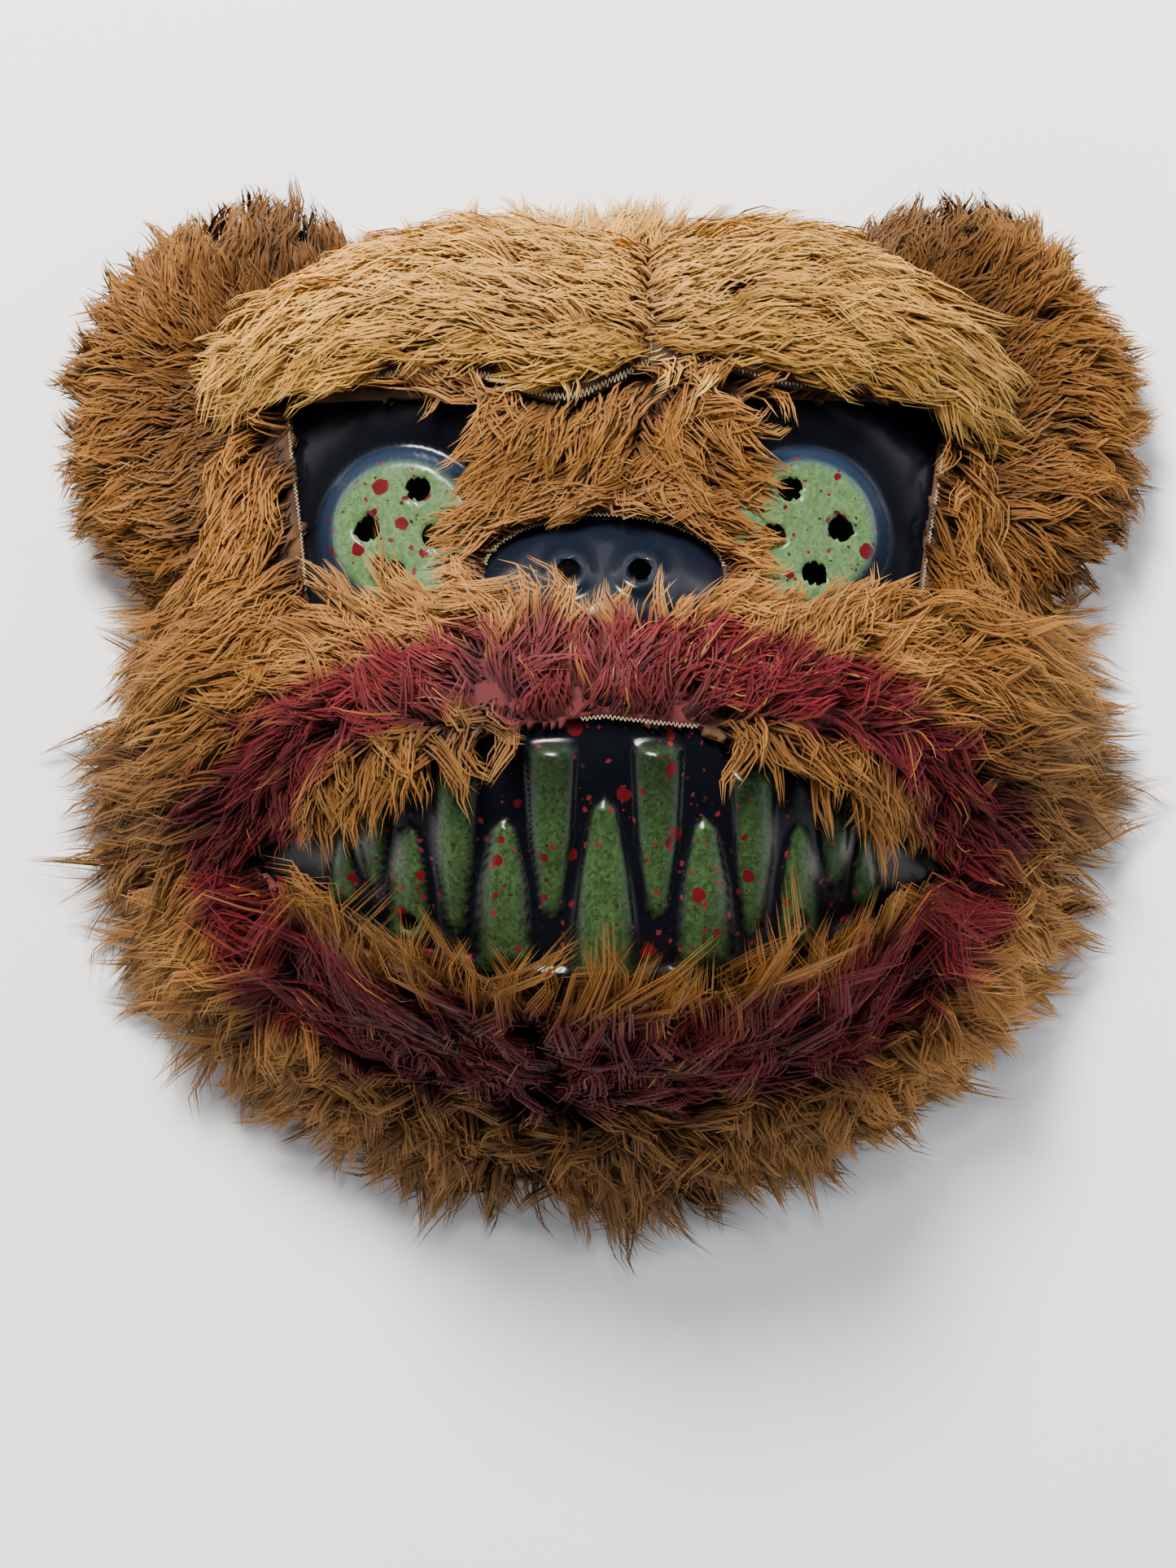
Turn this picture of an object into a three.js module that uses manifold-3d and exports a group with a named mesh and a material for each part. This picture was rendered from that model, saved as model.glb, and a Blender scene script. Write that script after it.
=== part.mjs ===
// A plush bear face mask, lying face up on the rim of its shell.
// A thin formed plastic shell carries the eyes, nose and teeth. Long pile plush covers it in sewn panels that leave
// windows for the eyes, the nose and the mouth. Two padded brows, two ears and a head band complete it.
// Millimetres. +X runs to the right of someone who faces the mask, +Y to the crown, and +Z the way the face looks.

import * as THREE from 'three';
import { mergeVertices } from 'three/addons/utils/BufferGeometryUtils.js';
import Module from 'manifold-3d';

const wasm = await Module();
wasm.setup();

// Driving dimensions of the shell's form
const shellHalfWidth = 116;
const crownReach = 124;
const chinReach = 121;
const shellWall = 1.2;
const domeRise = 62;
const muzzleRise = 33;
const muzzleHalfWidth = 92;
const muzzleHalfHeight = 82;
const muzzleLevel = -32;
const foreheadRise = 9;
const foreheadLevel = 92;
const foreheadHalfWidth = 96;
const foreheadHalfHeight = 34;
const socketDepth = 5;
const socketHalfWidth = 40;
const socketHalfHeight = 32;

// Eyes, nose and mouth
const eyeSpacing = 108;
const eyeLevel = 46;
const eyeRadius = 20;
const eyeRise = 9;
const eyeDraft = 3;
const eyeHoleDiameter = 7;
const noseLevel = 33;
const noseHalfWidth = 34;
const noseHalfHeight = 15;
const noseRise = 9;
const nostrilSpacing = 19;
const nostrilDiameter = 6;
const mouthLevel = -41;
const mouthHalfWidth = 96;
const mouthUpperReach = 37;
const mouthLowerReach = 39;
const mouthDip = 7;
const toothRelief = 0.62;
const toothHoleDiameter = 5;
const gumRadius = 3;

// Plush panels
const seatGap = 0.4;
const seamGap = 0.5;
const plushThickness = 8;
const hemLift = 1.2;
const cheekSeamLevel = 6;
const browSeamLevel = 87;
const windowTop = 82;
const windowFoot = 24;
const noseWindowMargin = 2.5;

// Brows
const browHalfWidth = 101;
const browSeamShift = 12;
const browHeight = 34;
const browThickness = 11;

// Ears
const earSpacing = 198;
const earLevel = 81;
const earHalfWidth = 41;
const earHalfHeight = 50;
const earThickness = 22;
const earCup = 7;
const earRake = 14;
const earLift = 1.5;
const earTiltDegrees = 14;

// Locks of pile
const lockLength = 28;
const lockWidth = 21;
const lockThickness = 9;
const earLockLength = 15;
const crownLockLength = 20;
const lockScatter = 0.2;

// Head band
const bandWidth = 16;
const bandThickness = 1.5;
const bandAnchorLevel = 42;
const bandBow = 46;

// Resolution of the meshes
const outlineSectors = 36;
const ringShares = [0.22, 0.4, 0.54, 0.66, 0.77, 0.87, 0.95, 1];
const surfaceStep = 1e-3;
const below = 6;
const farOut = 320;

// Half of the shell's rim from crown to chin, as shares of its half width and of its two reaches
const rimRows = [
  { across: 0, along: 1 },
  { across: 0.44, along: 0.96 },
  { across: 0.74, along: 0.82 },
  { across: 0.9, along: 0.55 },
  { across: 0.97, along: 0.18 },
  { across: 1, along: -0.2 },
  { across: 0.95, along: -0.52 },
  { across: 0.73, along: -0.8 },
  { across: 0.38, along: -0.96 },
  { across: 0, along: -1 },
];

// The mouth's two lips from its middle to its corner, as shares of its half width and of its two reaches
const lipRows = [
  { across: 0, upper: 1, lower: 1 },
  { across: 0.25, upper: 0.93, lower: 0.96 },
  { across: 0.5, upper: 0.68, lower: 0.82 },
  { across: 0.7, upper: 0.36, lower: 0.6 },
  { across: 0.88, upper: 0.14, lower: 0.3 },
  { across: 1, upper: 0, lower: 0 },
];

// Sections of a tooth from its root to its tip. Girth is a share of its width
const toothSections = [
  { along: 0, girth: 1 },
  { along: 0.55, girth: 0.82 },
  { along: 0.95, girth: 0.36 },
];

// Teeth of the right half and the middle one. Root and tip are shares of the mouth's reach on their own side
const toothRows = [
  { across: 0, width: 0.19, root: -0.8, tip: 0.4 },
  { across: 0.145, width: 0.145, root: 0.72, tip: -0.4 },
  { across: 0.275, width: 0.165, root: -0.7, tip: 0.26 },
  { across: 0.41, width: 0.13, root: 0.54, tip: -0.5 },
  { across: 0.54, width: 0.13, root: -0.54, tip: 0.22 },
  { across: 0.64, width: 0.1, root: 0.4, tip: -0.2 },
  { across: 0.73, width: 0.09, root: -0.3, tip: 0.17 },
];

// Peep holes of one eye, as shares of its radius. Inward is towards the nose
const eyeHoleRows = [
  { inward: 0.2, up: 0.58 },
  { inward: -0.48, up: 0.04 },
  { inward: 0.43, up: -0.06 },
  { inward: -0.12, up: -0.56 },
];

// Eye windows in the plush. Lengths are millimetres from the middle of the face
const windowRows = [
  { side: -1, innerTop: 30, outerTop: 85, innerFoot: 36, outerFoot: 79 },
  { side: 1, innerTop: 37, outerTop: 93, innerFoot: 36, outerFoot: 84 },
];

// Sections of a brow from the middle seam outwards. Low and high are shares of the brow's height from its own level
const browRows = [
  { out: 0, lowLeft: 0, lowRight: 0, high: 0.9, rise: 0.7 },
  { out: 0.2, lowLeft: -0.24, lowRight: -0.02, high: 1, rise: 1 },
  { out: 0.42, lowLeft: -0.06, lowRight: -0.14, high: 0.98, rise: 1 },
  { out: 0.64, lowLeft: -0.08, lowRight: -0.14, high: 0.84, rise: 0.92 },
  { out: 0.84, lowLeft: -0.13, lowRight: -0.28, high: 0.52, rise: 0.75 },
  { out: 0.94, lowLeft: -0.2, lowRight: -0.5, high: 0.2, rise: 0.5 },
];

// Rows of locks on the face, from the inner one to the rim's fringe
const lockRows = [
  { ring: 0.6, count: 20, length: 0.85, lift: 0.2 },
  { ring: 0.78, count: 26, length: 0.9, lift: 0.14 },
  { ring: 0.965, count: 38, length: 1, lift: 0.08 },
];

// Rows of locks on an ear, as shares of its half sizes
const earLockRows = [
  { ring: 0.9, count: 14, length: 1, lift: 0 },
];

// Closed geometry to an exact solid, turned so that its faces point out
function toSolid(geometry) {
  const bare = geometry.clone();
  bare.deleteAttribute('normal');
  bare.deleteAttribute('uv');
  const merged = mergeVertices(bare, 1e-4);
  const triVerts = new Uint32Array(merged.index.array);
  const build = () => new wasm.Manifold(new wasm.Mesh({
    numProp: 3,
    vertProperties: new Float32Array(merged.attributes.position.array),
    triVerts,
  }));
  const solid = build();
  if (solid.volume() > 0) return solid;
  for (let i = 0; i < triVerts.length; i += 3) {
    [triVerts[i + 1], triVerts[i + 2]] = [triVerts[i + 2], triVerts[i + 1]];
  }
  return build();
}

function toGeometry(solid) {
  const { vertProperties, triVerts } = solid.getMesh();
  const geometry = new THREE.BufferGeometry();
  geometry.setAttribute('position', new THREE.BufferAttribute(vertProperties, 3));
  geometry.setIndex(new THREE.BufferAttribute(triVerts, 1));
  geometry.computeVertexNormals();
  return geometry;
}

function union(solids) {
  return solids.reduce((whole, next) => whole.add(next));
}

// The main body of a solid, without the crumbs that a trim may leave
function mainBody(solid) {
  return solid.decompose().reduce((best, next) => (next.volume() > best.volume() ? next : best));
}

// Closed solid over a net of rows of points: each row is a ring, with a cap point at each end
function netSolid(rows, firstCap, lastCap) {
  const points = [...rows.flat(), firstCap, lastCap];
  const across = rows[0].length;
  const index = [];
  const at = (row, column) => row * across + (column % across);
  for (let row = 0; row + 1 < rows.length; row += 1) {
    for (let column = 0; column < across; column += 1) {
      index.push(at(row, column), at(row, column + 1), at(row + 1, column + 1));
      index.push(at(row, column), at(row + 1, column + 1), at(row + 1, column));
    }
  }
  const first = rows.length * across;
  const lastRow = rows.length - 1;
  for (let column = 0; column < across; column += 1) {
    index.push(first, at(0, column + 1), at(0, column));
    index.push(first + 1, at(lastRow, column), at(lastRow, column + 1));
  }
  const geometry = new THREE.BufferGeometry().setFromPoints(points);
  geometry.setIndex(index);
  return toSolid(geometry);
}

// The shell's rim as a closed curve, and the form that rises from it
const rimSide = rimRows.map(({ across, along }) => new THREE.Vector3(
  across * shellHalfWidth,
  along * (along > 0 ? crownReach : chinReach),
  0,
));
const otherSide = rimSide.slice(1, -1).reverse().map((p) => new THREE.Vector3(-p.x, p.y, 0));
const rimCurve = new THREE.CatmullRomCurve3([...rimSide, ...otherSide], true, 'centripetal');

// A smooth swelling that is 1 in its middle and fades to 0 at its edge. A higher power makes it flatter on top
function swelling(x, y, power = 1) {
  const reach = (x * x + y * y) ** power;
  return reach < 1 ? (1 - reach) ** 2 : 0;
}

function formHeight(x, y, ring) {
  const shoulder = (1 - Math.min(ring, 1) ** 3) ** 0.5;
  const muzzle = muzzleRise * swelling(x / muzzleHalfWidth, (y - muzzleLevel) / muzzleHalfHeight, 1.6);
  const forehead = foreheadRise * swelling(x / foreheadHalfWidth, (y - foreheadLevel) / foreheadHalfHeight);
  const fromEye = Math.abs(x) - eyeSpacing / 2;
  const socket = socketDepth * swelling(fromEye / socketHalfWidth, (y - eyeLevel) / socketHalfHeight);
  const mouth = mouthDip * swelling(x / mouthHalfWidth, (y - mouthLevel) / mouthLowerReach);
  return domeRise * shoulder + (muzzle + forehead - socket - mouth) * Math.min(1, shoulder * 1.6);
}

function formPoint(ring, turn) {
  const rim = rimCurve.getPoint(((turn % 1) + 1) % 1);
  const x = rim.x * ring;
  const y = rim.y * ring;
  return new THREE.Vector3(x, y, formHeight(x, y, ring));
}

function formNormal(ring, turn) {
  if (ring >= 1) {
    const tangent = rimCurve.getTangent(((turn % 1) + 1) % 1);
    return new THREE.Vector3(-tangent.y, tangent.x, 0).normalize();
  }
  const inner = Math.max(ring - surfaceStep, surfaceStep);
  const outwards = formPoint(inner + surfaceStep, turn).sub(formPoint(inner, turn));
  const around = formPoint(inner, turn + surfaceStep).sub(formPoint(inner, turn - surfaceStep));
  const normal = outwards.cross(around).normalize();
  return normal.z < 0 ? normal.negate() : normal;
}

// A point of the form is found from its place in the plan by its bearing on the rim
function ringAndTurn(x, y) {
  const bearing = Math.atan2(y, x);
  let best = { gap: Infinity, turn: 0 };
  const steps = outlineSectors * 8;
  for (let step = 0; step < steps; step += 1) {
    const rim = rimCurve.getPoint(step / steps);
    const turned = Math.atan2(rim.y, rim.x) - bearing;
    const gap = Math.abs(Math.atan2(Math.sin(turned), Math.cos(turned)));
    if (gap < best.gap) best = { gap, turn: step / steps, reach: Math.hypot(rim.x, rim.y) };
  }
  return { ring: Math.hypot(x, y) / best.reach, turn: best.turn };
}

function seat(x, y, rise = 0) {
  const { ring, turn } = ringAndTurn(x, y);
  const normal = formNormal(ring, turn);
  const point = new THREE.Vector3(x, y, formHeight(x, y, ring)).addScaledVector(normal, rise);
  return { point, normal };
}

// Everything under the form's surface when that is moved out by offset
function filled(offset) {
  const rows = ringShares.map((ring) => Array.from({ length: outlineSectors }, (_, sector) => {
    const turn = sector / outlineSectors;
    const normal = formNormal(ring, turn);
    if (ring >= 1 && normal.dot(rimCurve.getPoint(turn)) < 0) normal.negate();
    return formPoint(ring, turn).addScaledVector(normal, offset);
  }));
  const foot = rows[rows.length - 1].map((p) => new THREE.Vector3(p.x, p.y, -below));
  const top = new THREE.Vector3(0, 0, formHeight(0, 0, 0) + offset);
  return netSolid([...rows, foot], top, new THREE.Vector3(0, 0, -below));
}

function boxSolid(low, high) {
  const size = new THREE.Vector3().subVectors(high, low);
  const geometry = new THREE.BoxGeometry(size.x, size.y, size.z);
  geometry.translate((low.x + high.x) / 2, (low.y + high.y) / 2, (low.z + high.z) / 2);
  return toSolid(geometry);
}

function above(level) {
  return boxSolid(new THREE.Vector3(-farOut, -farOut, level), new THREE.Vector3(farOut, farOut, farOut));
}

function prism(points, depth = farOut) {
  const shape = new THREE.Shape(points);
  const geometry = new THREE.ExtrudeGeometry(shape, { depth, bevelEnabled: false });
  geometry.translate(0, 0, -below);
  return toSolid(geometry);
}

// A turned form set on the surface, its axis along the surface's normal
function turnedOnForm(profile, sides, x, y, turnPerp = 1) {
  const { point, normal } = seat(x, y);
  const geometry = new THREE.LatheGeometry(profile, sides);
  const axis = new THREE.Vector3(0, 0, 1).lerp(normal, turnPerp).normalize();
  geometry.applyQuaternion(new THREE.Quaternion().setFromUnitVectors(new THREE.Vector3(0, 1, 0), axis));
  geometry.translate(point.x, point.y, point.z);
  return toSolid(geometry);
}

function eyeForm(side, offset) {
  const radius = eyeRadius + offset;
  const profile = [
    new THREE.Vector2(0, -eyeRadius),
    new THREE.Vector2(radius + eyeDraft, -eyeRadius),
    new THREE.Vector2(radius + eyeDraft, -1),
    new THREE.Vector2(radius, eyeRise * 0.55 + offset),
    new THREE.Vector2(radius * 0.8, eyeRise * 0.88 + offset),
    new THREE.Vector2(0, eyeRise + offset),
  ];
  return turnedOnForm(profile, 14, side * eyeSpacing / 2, eyeLevel, 0.5);
}

function holeOnForm(x, y, diameter) {
  const radius = diameter / 2;
  const profile = [
    new THREE.Vector2(0, -eyeRadius),
    new THREE.Vector2(radius, -eyeRadius),
    new THREE.Vector2(radius, eyeRadius),
    new THREE.Vector2(0, eyeRadius),
  ];
  return turnedOnForm(profile, 8, x, y, 0.5);
}

function noseForm(offset) {
  const { point, normal } = seat(0, noseLevel);
  const geometry = new THREE.SphereGeometry(1, 14, 6);
  geometry.scale(noseHalfWidth + offset, noseHalfHeight + offset, noseRise + offset);
  geometry.applyQuaternion(new THREE.Quaternion().setFromUnitVectors(new THREE.Vector3(0, 0, 1), normal));
  geometry.translate(point.x, point.y, point.z);
  return toSolid(geometry);
}

function mouthHeight(share) {
  return mouthLevel + share * (share > 0 ? mouthUpperReach : mouthLowerReach);
}

// A tooth is a tapering ridge that follows the surface from its root to its tip
function toothForm({ across, width, root, tip }, side, offset) {
  const x = side * across * mouthHalfWidth;
  const sections = toothSections.map(({ along, girth }) => {
    const half = (girth * width * mouthHalfWidth) / 2 + offset;
    const rise = half * toothRelief;
    const y = mouthHeight(root + (tip - root) * along);
    return [
      seat(x - half, y).point,
      seat(x - half * 0.5, y, rise).point,
      seat(x + half * 0.5, y, rise).point,
      seat(x + half, y).point,
      seat(x, y, -2 * gumRadius).point,
    ];
  });
  const end = seat(x, mouthHeight(tip) - Math.sign(root - tip) * offset, -shellWall);
  const start = seat(x, mouthHeight(root), -shellWall);
  return netSolid(sections, start.point, end.point);
}

function mirroredRows(rows, make) {
  return rows.flatMap((row) => (row.across === 0 ? [make(row, 1)] : [make(row, 1), make(row, -1)]));
}

// A lip's line in the plan, from its left corner to its right one
function lipLine(which) {
  const reach = which === 'upper' ? mouthUpperReach : -mouthLowerReach;
  const half = lipRows.map((row) => new THREE.Vector3(
    row.across * mouthHalfWidth,
    mouthLevel + row[which] * reach,
    0,
  ));
  const left = half.slice(1).reverse().map((p) => new THREE.Vector3(-p.x, p.y, 0));
  return new THREE.CatmullRomCurve3([...left, ...half], false, 'centripetal').getPoints(18);
}

// The rounded ledge of the lower gum, along the foot of the lower teeth
function gumForm(offset) {
  const span = lipLine('lower').filter((p) => Math.abs(p.x) < mouthHalfWidth * 0.72);
  const route = span.map((p) => seat(p.x, mouthLevel + (p.y - mouthLevel) * 0.84).point);
  const radius = gumRadius + offset;
  const sides = 6;
  const section = new THREE.Shape(Array.from({ length: sides }, (_, i) => {
    const angle = (i / sides) * 2 * Math.PI;
    return new THREE.Vector2(Math.cos(angle) * radius, Math.sin(angle) * radius);
  }));
  return toSolid(new THREE.ExtrudeGeometry(section, {
    steps: 14,
    bevelEnabled: false,
    extrudePath: new THREE.CatmullRomCurve3(route),
  }));
}

// What stands out of the dome: eyes, nose and teeth, and outside the gum too, which is too slim to be hollow
function reliefs(offset) {
  const hollow = [
    ...[-1, 1].map((side) => eyeForm(side, offset)),
    noseForm(offset),
    ...mirroredRows(toothRows, (row, side) => toothForm(row, side, offset)),
  ];
  return union(offset < 0 ? hollow : [...hollow, gumForm(offset)]);
}

// The mould over which the sheet is formed, grown or shrunk by offset
function mould(offset) {
  return filled(offset).add(reliefs(offset));
}

function shellHoles() {
  const holes = [];
  for (const side of [-1, 1]) {
    for (const { inward, up } of eyeHoleRows) {
      const x = side * (eyeSpacing / 2 - inward * eyeRadius);
      holes.push(holeOnForm(x, eyeLevel + up * eyeRadius, eyeHoleDiameter));
    }
    holes.push(holeOnForm(side * nostrilSpacing / 2, noseLevel + noseHalfHeight * 0.15, nostrilDiameter));
    const pierced = toothRows[4];
    const x = side * pierced.across * mouthHalfWidth;
    holes.push(holeOnForm(x, mouthHeight(pierced.root * 0.85), toothHoleDiameter));
  }
  return union(holes);
}

function shellSolid() {
  return mould(0).subtract(mould(-shellWall)).subtract(shellHoles()).intersect(above(0));
}

// Windows and seams of the plush, as outlines in the plan
function windowPrism({ side, innerTop, outerTop, innerFoot, outerFoot }) {
  return prism([
    new THREE.Vector2(side * innerTop, windowTop),
    new THREE.Vector2(side * outerTop, windowTop),
    new THREE.Vector2(side * outerFoot, windowFoot),
    new THREE.Vector2(side * innerFoot, windowFoot),
  ]);
}

function noseWindow() {
  const shape = new THREE.EllipseCurve(
    0,
    noseLevel,
    noseHalfWidth - noseWindowMargin,
    noseHalfHeight + noseWindowMargin,
  );
  return prism(shape.getPoints(20).slice(0, -1));
}

function facePrism() {
  const lip = lipLine('upper').map((p) => new THREE.Vector2(p.x, p.y + seamGap / 2));
  return prism([
    new THREE.Vector2(-farOut, cheekSeamLevel + seamGap / 2),
    new THREE.Vector2(-shellHalfWidth, cheekSeamLevel + seamGap / 2),
    ...lip,
    new THREE.Vector2(shellHalfWidth, cheekSeamLevel + seamGap / 2),
    new THREE.Vector2(farOut, cheekSeamLevel + seamGap / 2),
    new THREE.Vector2(farOut, browSeamLevel),
    new THREE.Vector2(-farOut, browSeamLevel),
  ]);
}

function jawPrism() {
  const lip = lipLine('lower').map((p) => new THREE.Vector2(p.x, p.y - seamGap / 2));
  return prism([
    new THREE.Vector2(-farOut, cheekSeamLevel - seamGap / 2),
    new THREE.Vector2(-shellHalfWidth, cheekSeamLevel - seamGap / 2),
    ...lip,
    new THREE.Vector2(shellHalfWidth, cheekSeamLevel - seamGap / 2),
    new THREE.Vector2(farOut, cheekSeamLevel - seamGap / 2),
    new THREE.Vector2(farOut, -farOut),
    new THREE.Vector2(-farOut, -farOut),
  ]);
}

function crownPrism() {
  return prism([
    new THREE.Vector2(-farOut, browSeamLevel + seamGap),
    new THREE.Vector2(farOut, browSeamLevel + seamGap),
    new THREE.Vector2(farOut, farOut),
    new THREE.Vector2(-farOut, farOut),
  ]);
}

// One lock of pile: a flat tapering tuft, its root sunk in the backing and its tip bent back towards the surface
function lockSolid(root, direction, up, length, lift) {
  const sideways = new THREE.Vector3().crossVectors(direction, up).normalize();
  const stations = [
    { share: -0.12, width: 0.8, rise: -0.3 },
    { share: 0.3, width: 1, rise: 0.7 },
    { share: 0.72, width: 0.62, rise: 0.9 },
  ];
  const rows = stations.map(({ share, width, rise }) => {
    const middle = root.clone()
      .addScaledVector(direction, share * length)
      .addScaledVector(up, rise * lift * length + lockThickness * 0.1);
    const half = (width * lockWidth) / 2;
    const thick = (width * lockThickness) / 2;
    return [
      middle.clone().addScaledVector(sideways, -half).addScaledVector(up, -thick * 0.6),
      middle.clone().addScaledVector(up, thick),
      middle.clone().addScaledVector(sideways, half).addScaledVector(up, -thick * 0.6),
    ];
  });
  const tip = root.clone().addScaledVector(direction, length).addScaledVector(up, lift * length * 0.4);
  const rootCap = rows[0].reduce((sum, p) => sum.add(p), new THREE.Vector3()).divideScalar(3);
  return netSolid(rows, rootCap, tip);
}

// Places where locks would run into the brows, the ears, the windows or the mouth
function underBrow(p, margin) {
  const low = browSeamLevel - browHeight * 0.6 - margin;
  const high = browSeamLevel + browHeight + margin;
  return p.y > low && p.y < high && Math.abs(p.x) < browHalfWidth + browSeamShift + margin;
}

// The space over which an ear spreads, up to its top
function earSpace(side) {
  const outline = new THREE.EllipseCurve(
    side * earSpacing / 2,
    earLevel,
    earHalfWidth + earLockLength,
    earHalfHeight + earLockLength,
  );
  const height = earLift + earThickness + earRake + seatGap + below;
  return prism(outline.getPoints(16).slice(0, -1), height);
}

function inWindow(p, margin) {
  const inEye = windowRows.some(({ side, innerTop, outerTop }) => {
    const x = p.x * side;
    return x > innerTop - margin && x < outerTop + margin && p.y > windowFoot - margin && p.y < windowTop + margin;
  });
  const noseX = p.x / (noseHalfWidth + margin);
  const noseY = (p.y - noseLevel) / (noseHalfHeight + margin);
  const mouthX = p.x / (mouthHalfWidth + margin);
  const mouthReach = p.y > mouthLevel ? mouthUpperReach : mouthLowerReach;
  const mouthY = (p.y - mouthLevel) / (mouthReach + margin);
  return inEye || noseX ** 2 + noseY ** 2 < 1 || mouthX ** 2 + mouthY ** 2 < 1;
}

// Locks lie outwards from the middle of the face, over the surface of the plush
function faceLocks() {
  const locks = [];
  for (const { ring, count, length, lift } of lockRows) {
    for (let i = 0; i < count; i += 1) {
      const turn = (i + lockScatter * Math.sin(5 * i)) / count;
      const surface = formPoint(ring, turn);
      const up = formNormal(Math.min(ring, 0.95), turn);
      const outwards = formPoint(Math.min(ring + 0.03, 1), turn).sub(formPoint(Math.min(ring, 0.97), turn));
      const steepest = -Math.hypot(outwards.x, outwards.y) * 0.7;
      const direction = new THREE.Vector3(outwards.x, outwards.y, Math.max(outwards.z, steepest));
      direction.normalize().applyAxisAngle(up, lockScatter * Math.sin(3 * i + 20 * ring));
      const root = surface.addScaledVector(up, seatGap + plushThickness * 0.6);
      const longest = root.y > browSeamLevel ? crownLockLength : lockLength;
      const reach = longest * length * (1 + lockScatter * Math.sin(7 * i));
      const tip = root.clone().addScaledVector(direction, reach);
      const clear = !inWindow(root, lockWidth / 4) && !inWindow(tip, seatGap)
        && !underBrow(root, 0) && !underBrow(tip, lockWidth / 2);
      if (clear) locks.push(lockSolid(root, direction, up, reach, lift));
    }
  }
  return locks;
}

// The plush with its pile, before it is cut into panels
function plushSolid() {
  const layer = filled(seatGap + plushThickness).subtract(filled(seatGap));
  const cuts = [filled(seatGap), ...[-1, 1].flatMap((side) => [browSpace(side), earSpace(side)])];
  const fringe = cuts.reduce((solid, cut) => solid.subtract(cut), union(faceLocks()));
  return layer.add(fringe).subtract(reliefs(seatGap)).intersect(above(hemLift));
}

const plush = plushSolid();

function panelSolid(outline, cutouts) {
  return mainBody(cutouts.reduce((solid, cut) => solid.subtract(cut), plush.intersect(outline)));
}

// A padded brow, lofted from rings that stand across it, or the space that it needs when it is grown
function browLoft(side, grow) {
  const sides = 10;
  const seamX = browSeamShift + side * seamGap / 2;
  const reach = browHalfWidth - side * browSeamShift;
  const middles = [];
  const rows = browRows.map(({ out, lowLeft, lowRight, high, rise }) => {
    const low = side < 0 ? lowLeft : lowRight;
    const x = seamX + side * out * reach;
    const middleY = browSeamLevel + ((low + high) / 2) * browHeight;
    const halfHeight = ((high - low) / 2) * browHeight + grow;
    const { point, normal } = seat(x, middleY);
    middles.push(point);
    return Array.from({ length: sides }, (_, i) => {
      const angle = (i / sides) * 2 * Math.PI;
      const up = Math.sin(angle);
      const along = Math.cos(angle) * halfHeight;
      const surface = seat(x, middleY + along * (1 - 0.1 * Math.abs(up))).point;
      const height = up > 0 ? up * (browThickness * rise + plushThickness) : up * plushThickness;
      return surface.addScaledVector(normal, height + seatGap + Math.sign(height) * grow);
    });
  });
  const last = middles[middles.length - 1].clone();
  last.x += side * (browThickness / 2 + grow);
  return netSolid(rows, middles[0], last);
}

// A brow and the gap round it
function browSpace(side) {
  return browLoft(side, 0).add(browLoft(side, seatGap));
}

function browSolid(side) {
  return mainBody(browLoft(side, 0).subtract(filled(2 * seatGap + plushThickness)).intersect(above(hemLift)));
}

// A cupped ear of two plush layers, its outer edge turned up into a soft roll
function earSolid(side) {
  const sectors = 18;
  const rings = [0.32, 0.66, 0.9];
  const half = earThickness / 2;
  const centre = new THREE.Vector2(side * earSpacing / 2, earLevel);
  const tilt = THREE.MathUtils.degToRad(earTiltDegrees) * side;
  const at = (ring, angle, share) => {
    const local = new THREE.Vector2(Math.cos(angle) * earHalfWidth * ring, Math.sin(angle) * earHalfHeight * ring);
    const inward = 1 - side * Math.cos(angle) * ring;
    local.rotateAround(new THREE.Vector2(), tilt);
    const round = Math.sqrt(1 - ring ** 4);
    const cup = share > 0 ? earCup * Math.max(0, 1 - (ring / 0.85) ** 2) : 0;
    const z = earLift + half + earRake * 0.5 * inward + share * half * round - cup;
    return new THREE.Vector3(centre.x + local.x, centre.y + local.y, z);
  };
  const ringOf = (ring, share) => Array.from(
    { length: sectors },
    (_, i) => at(ring, (i / sectors) * 2 * Math.PI, share),
  );
  const rows = [
    ...rings.map((ring) => ringOf(ring, 1)),
    ringOf(1, 0),
    ...[...rings].reverse().map((ring) => ringOf(ring, -1)),
  ];
  const pad = netSolid(rows, at(0, 0, 1), at(0, 0, -1));
  const locks = earLockRows.flatMap(({ ring, count, length, lift }) => Array.from({ length: count }, (_, i) => {
    const angle = ((i + 0.5 * (ring > 0.8)) / count) * 2 * Math.PI;
    const root = at(ring, angle, 0.75);
    const next = at(Math.min(ring + 0.06, 1), angle, 0.75);
    const direction = new THREE.Vector3(next.x - root.x, next.y - root.y, 0).normalize();
    return lockSolid(root, direction, new THREE.Vector3(0, 0, 1), earLockLength * length, lift);
  }));
  const head = filled(2 * seatGap + plushThickness).add(browSpace(side));
  return mainBody(pad.add(union(locks)).subtract(head).intersect(above(earLift)));
}

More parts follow.
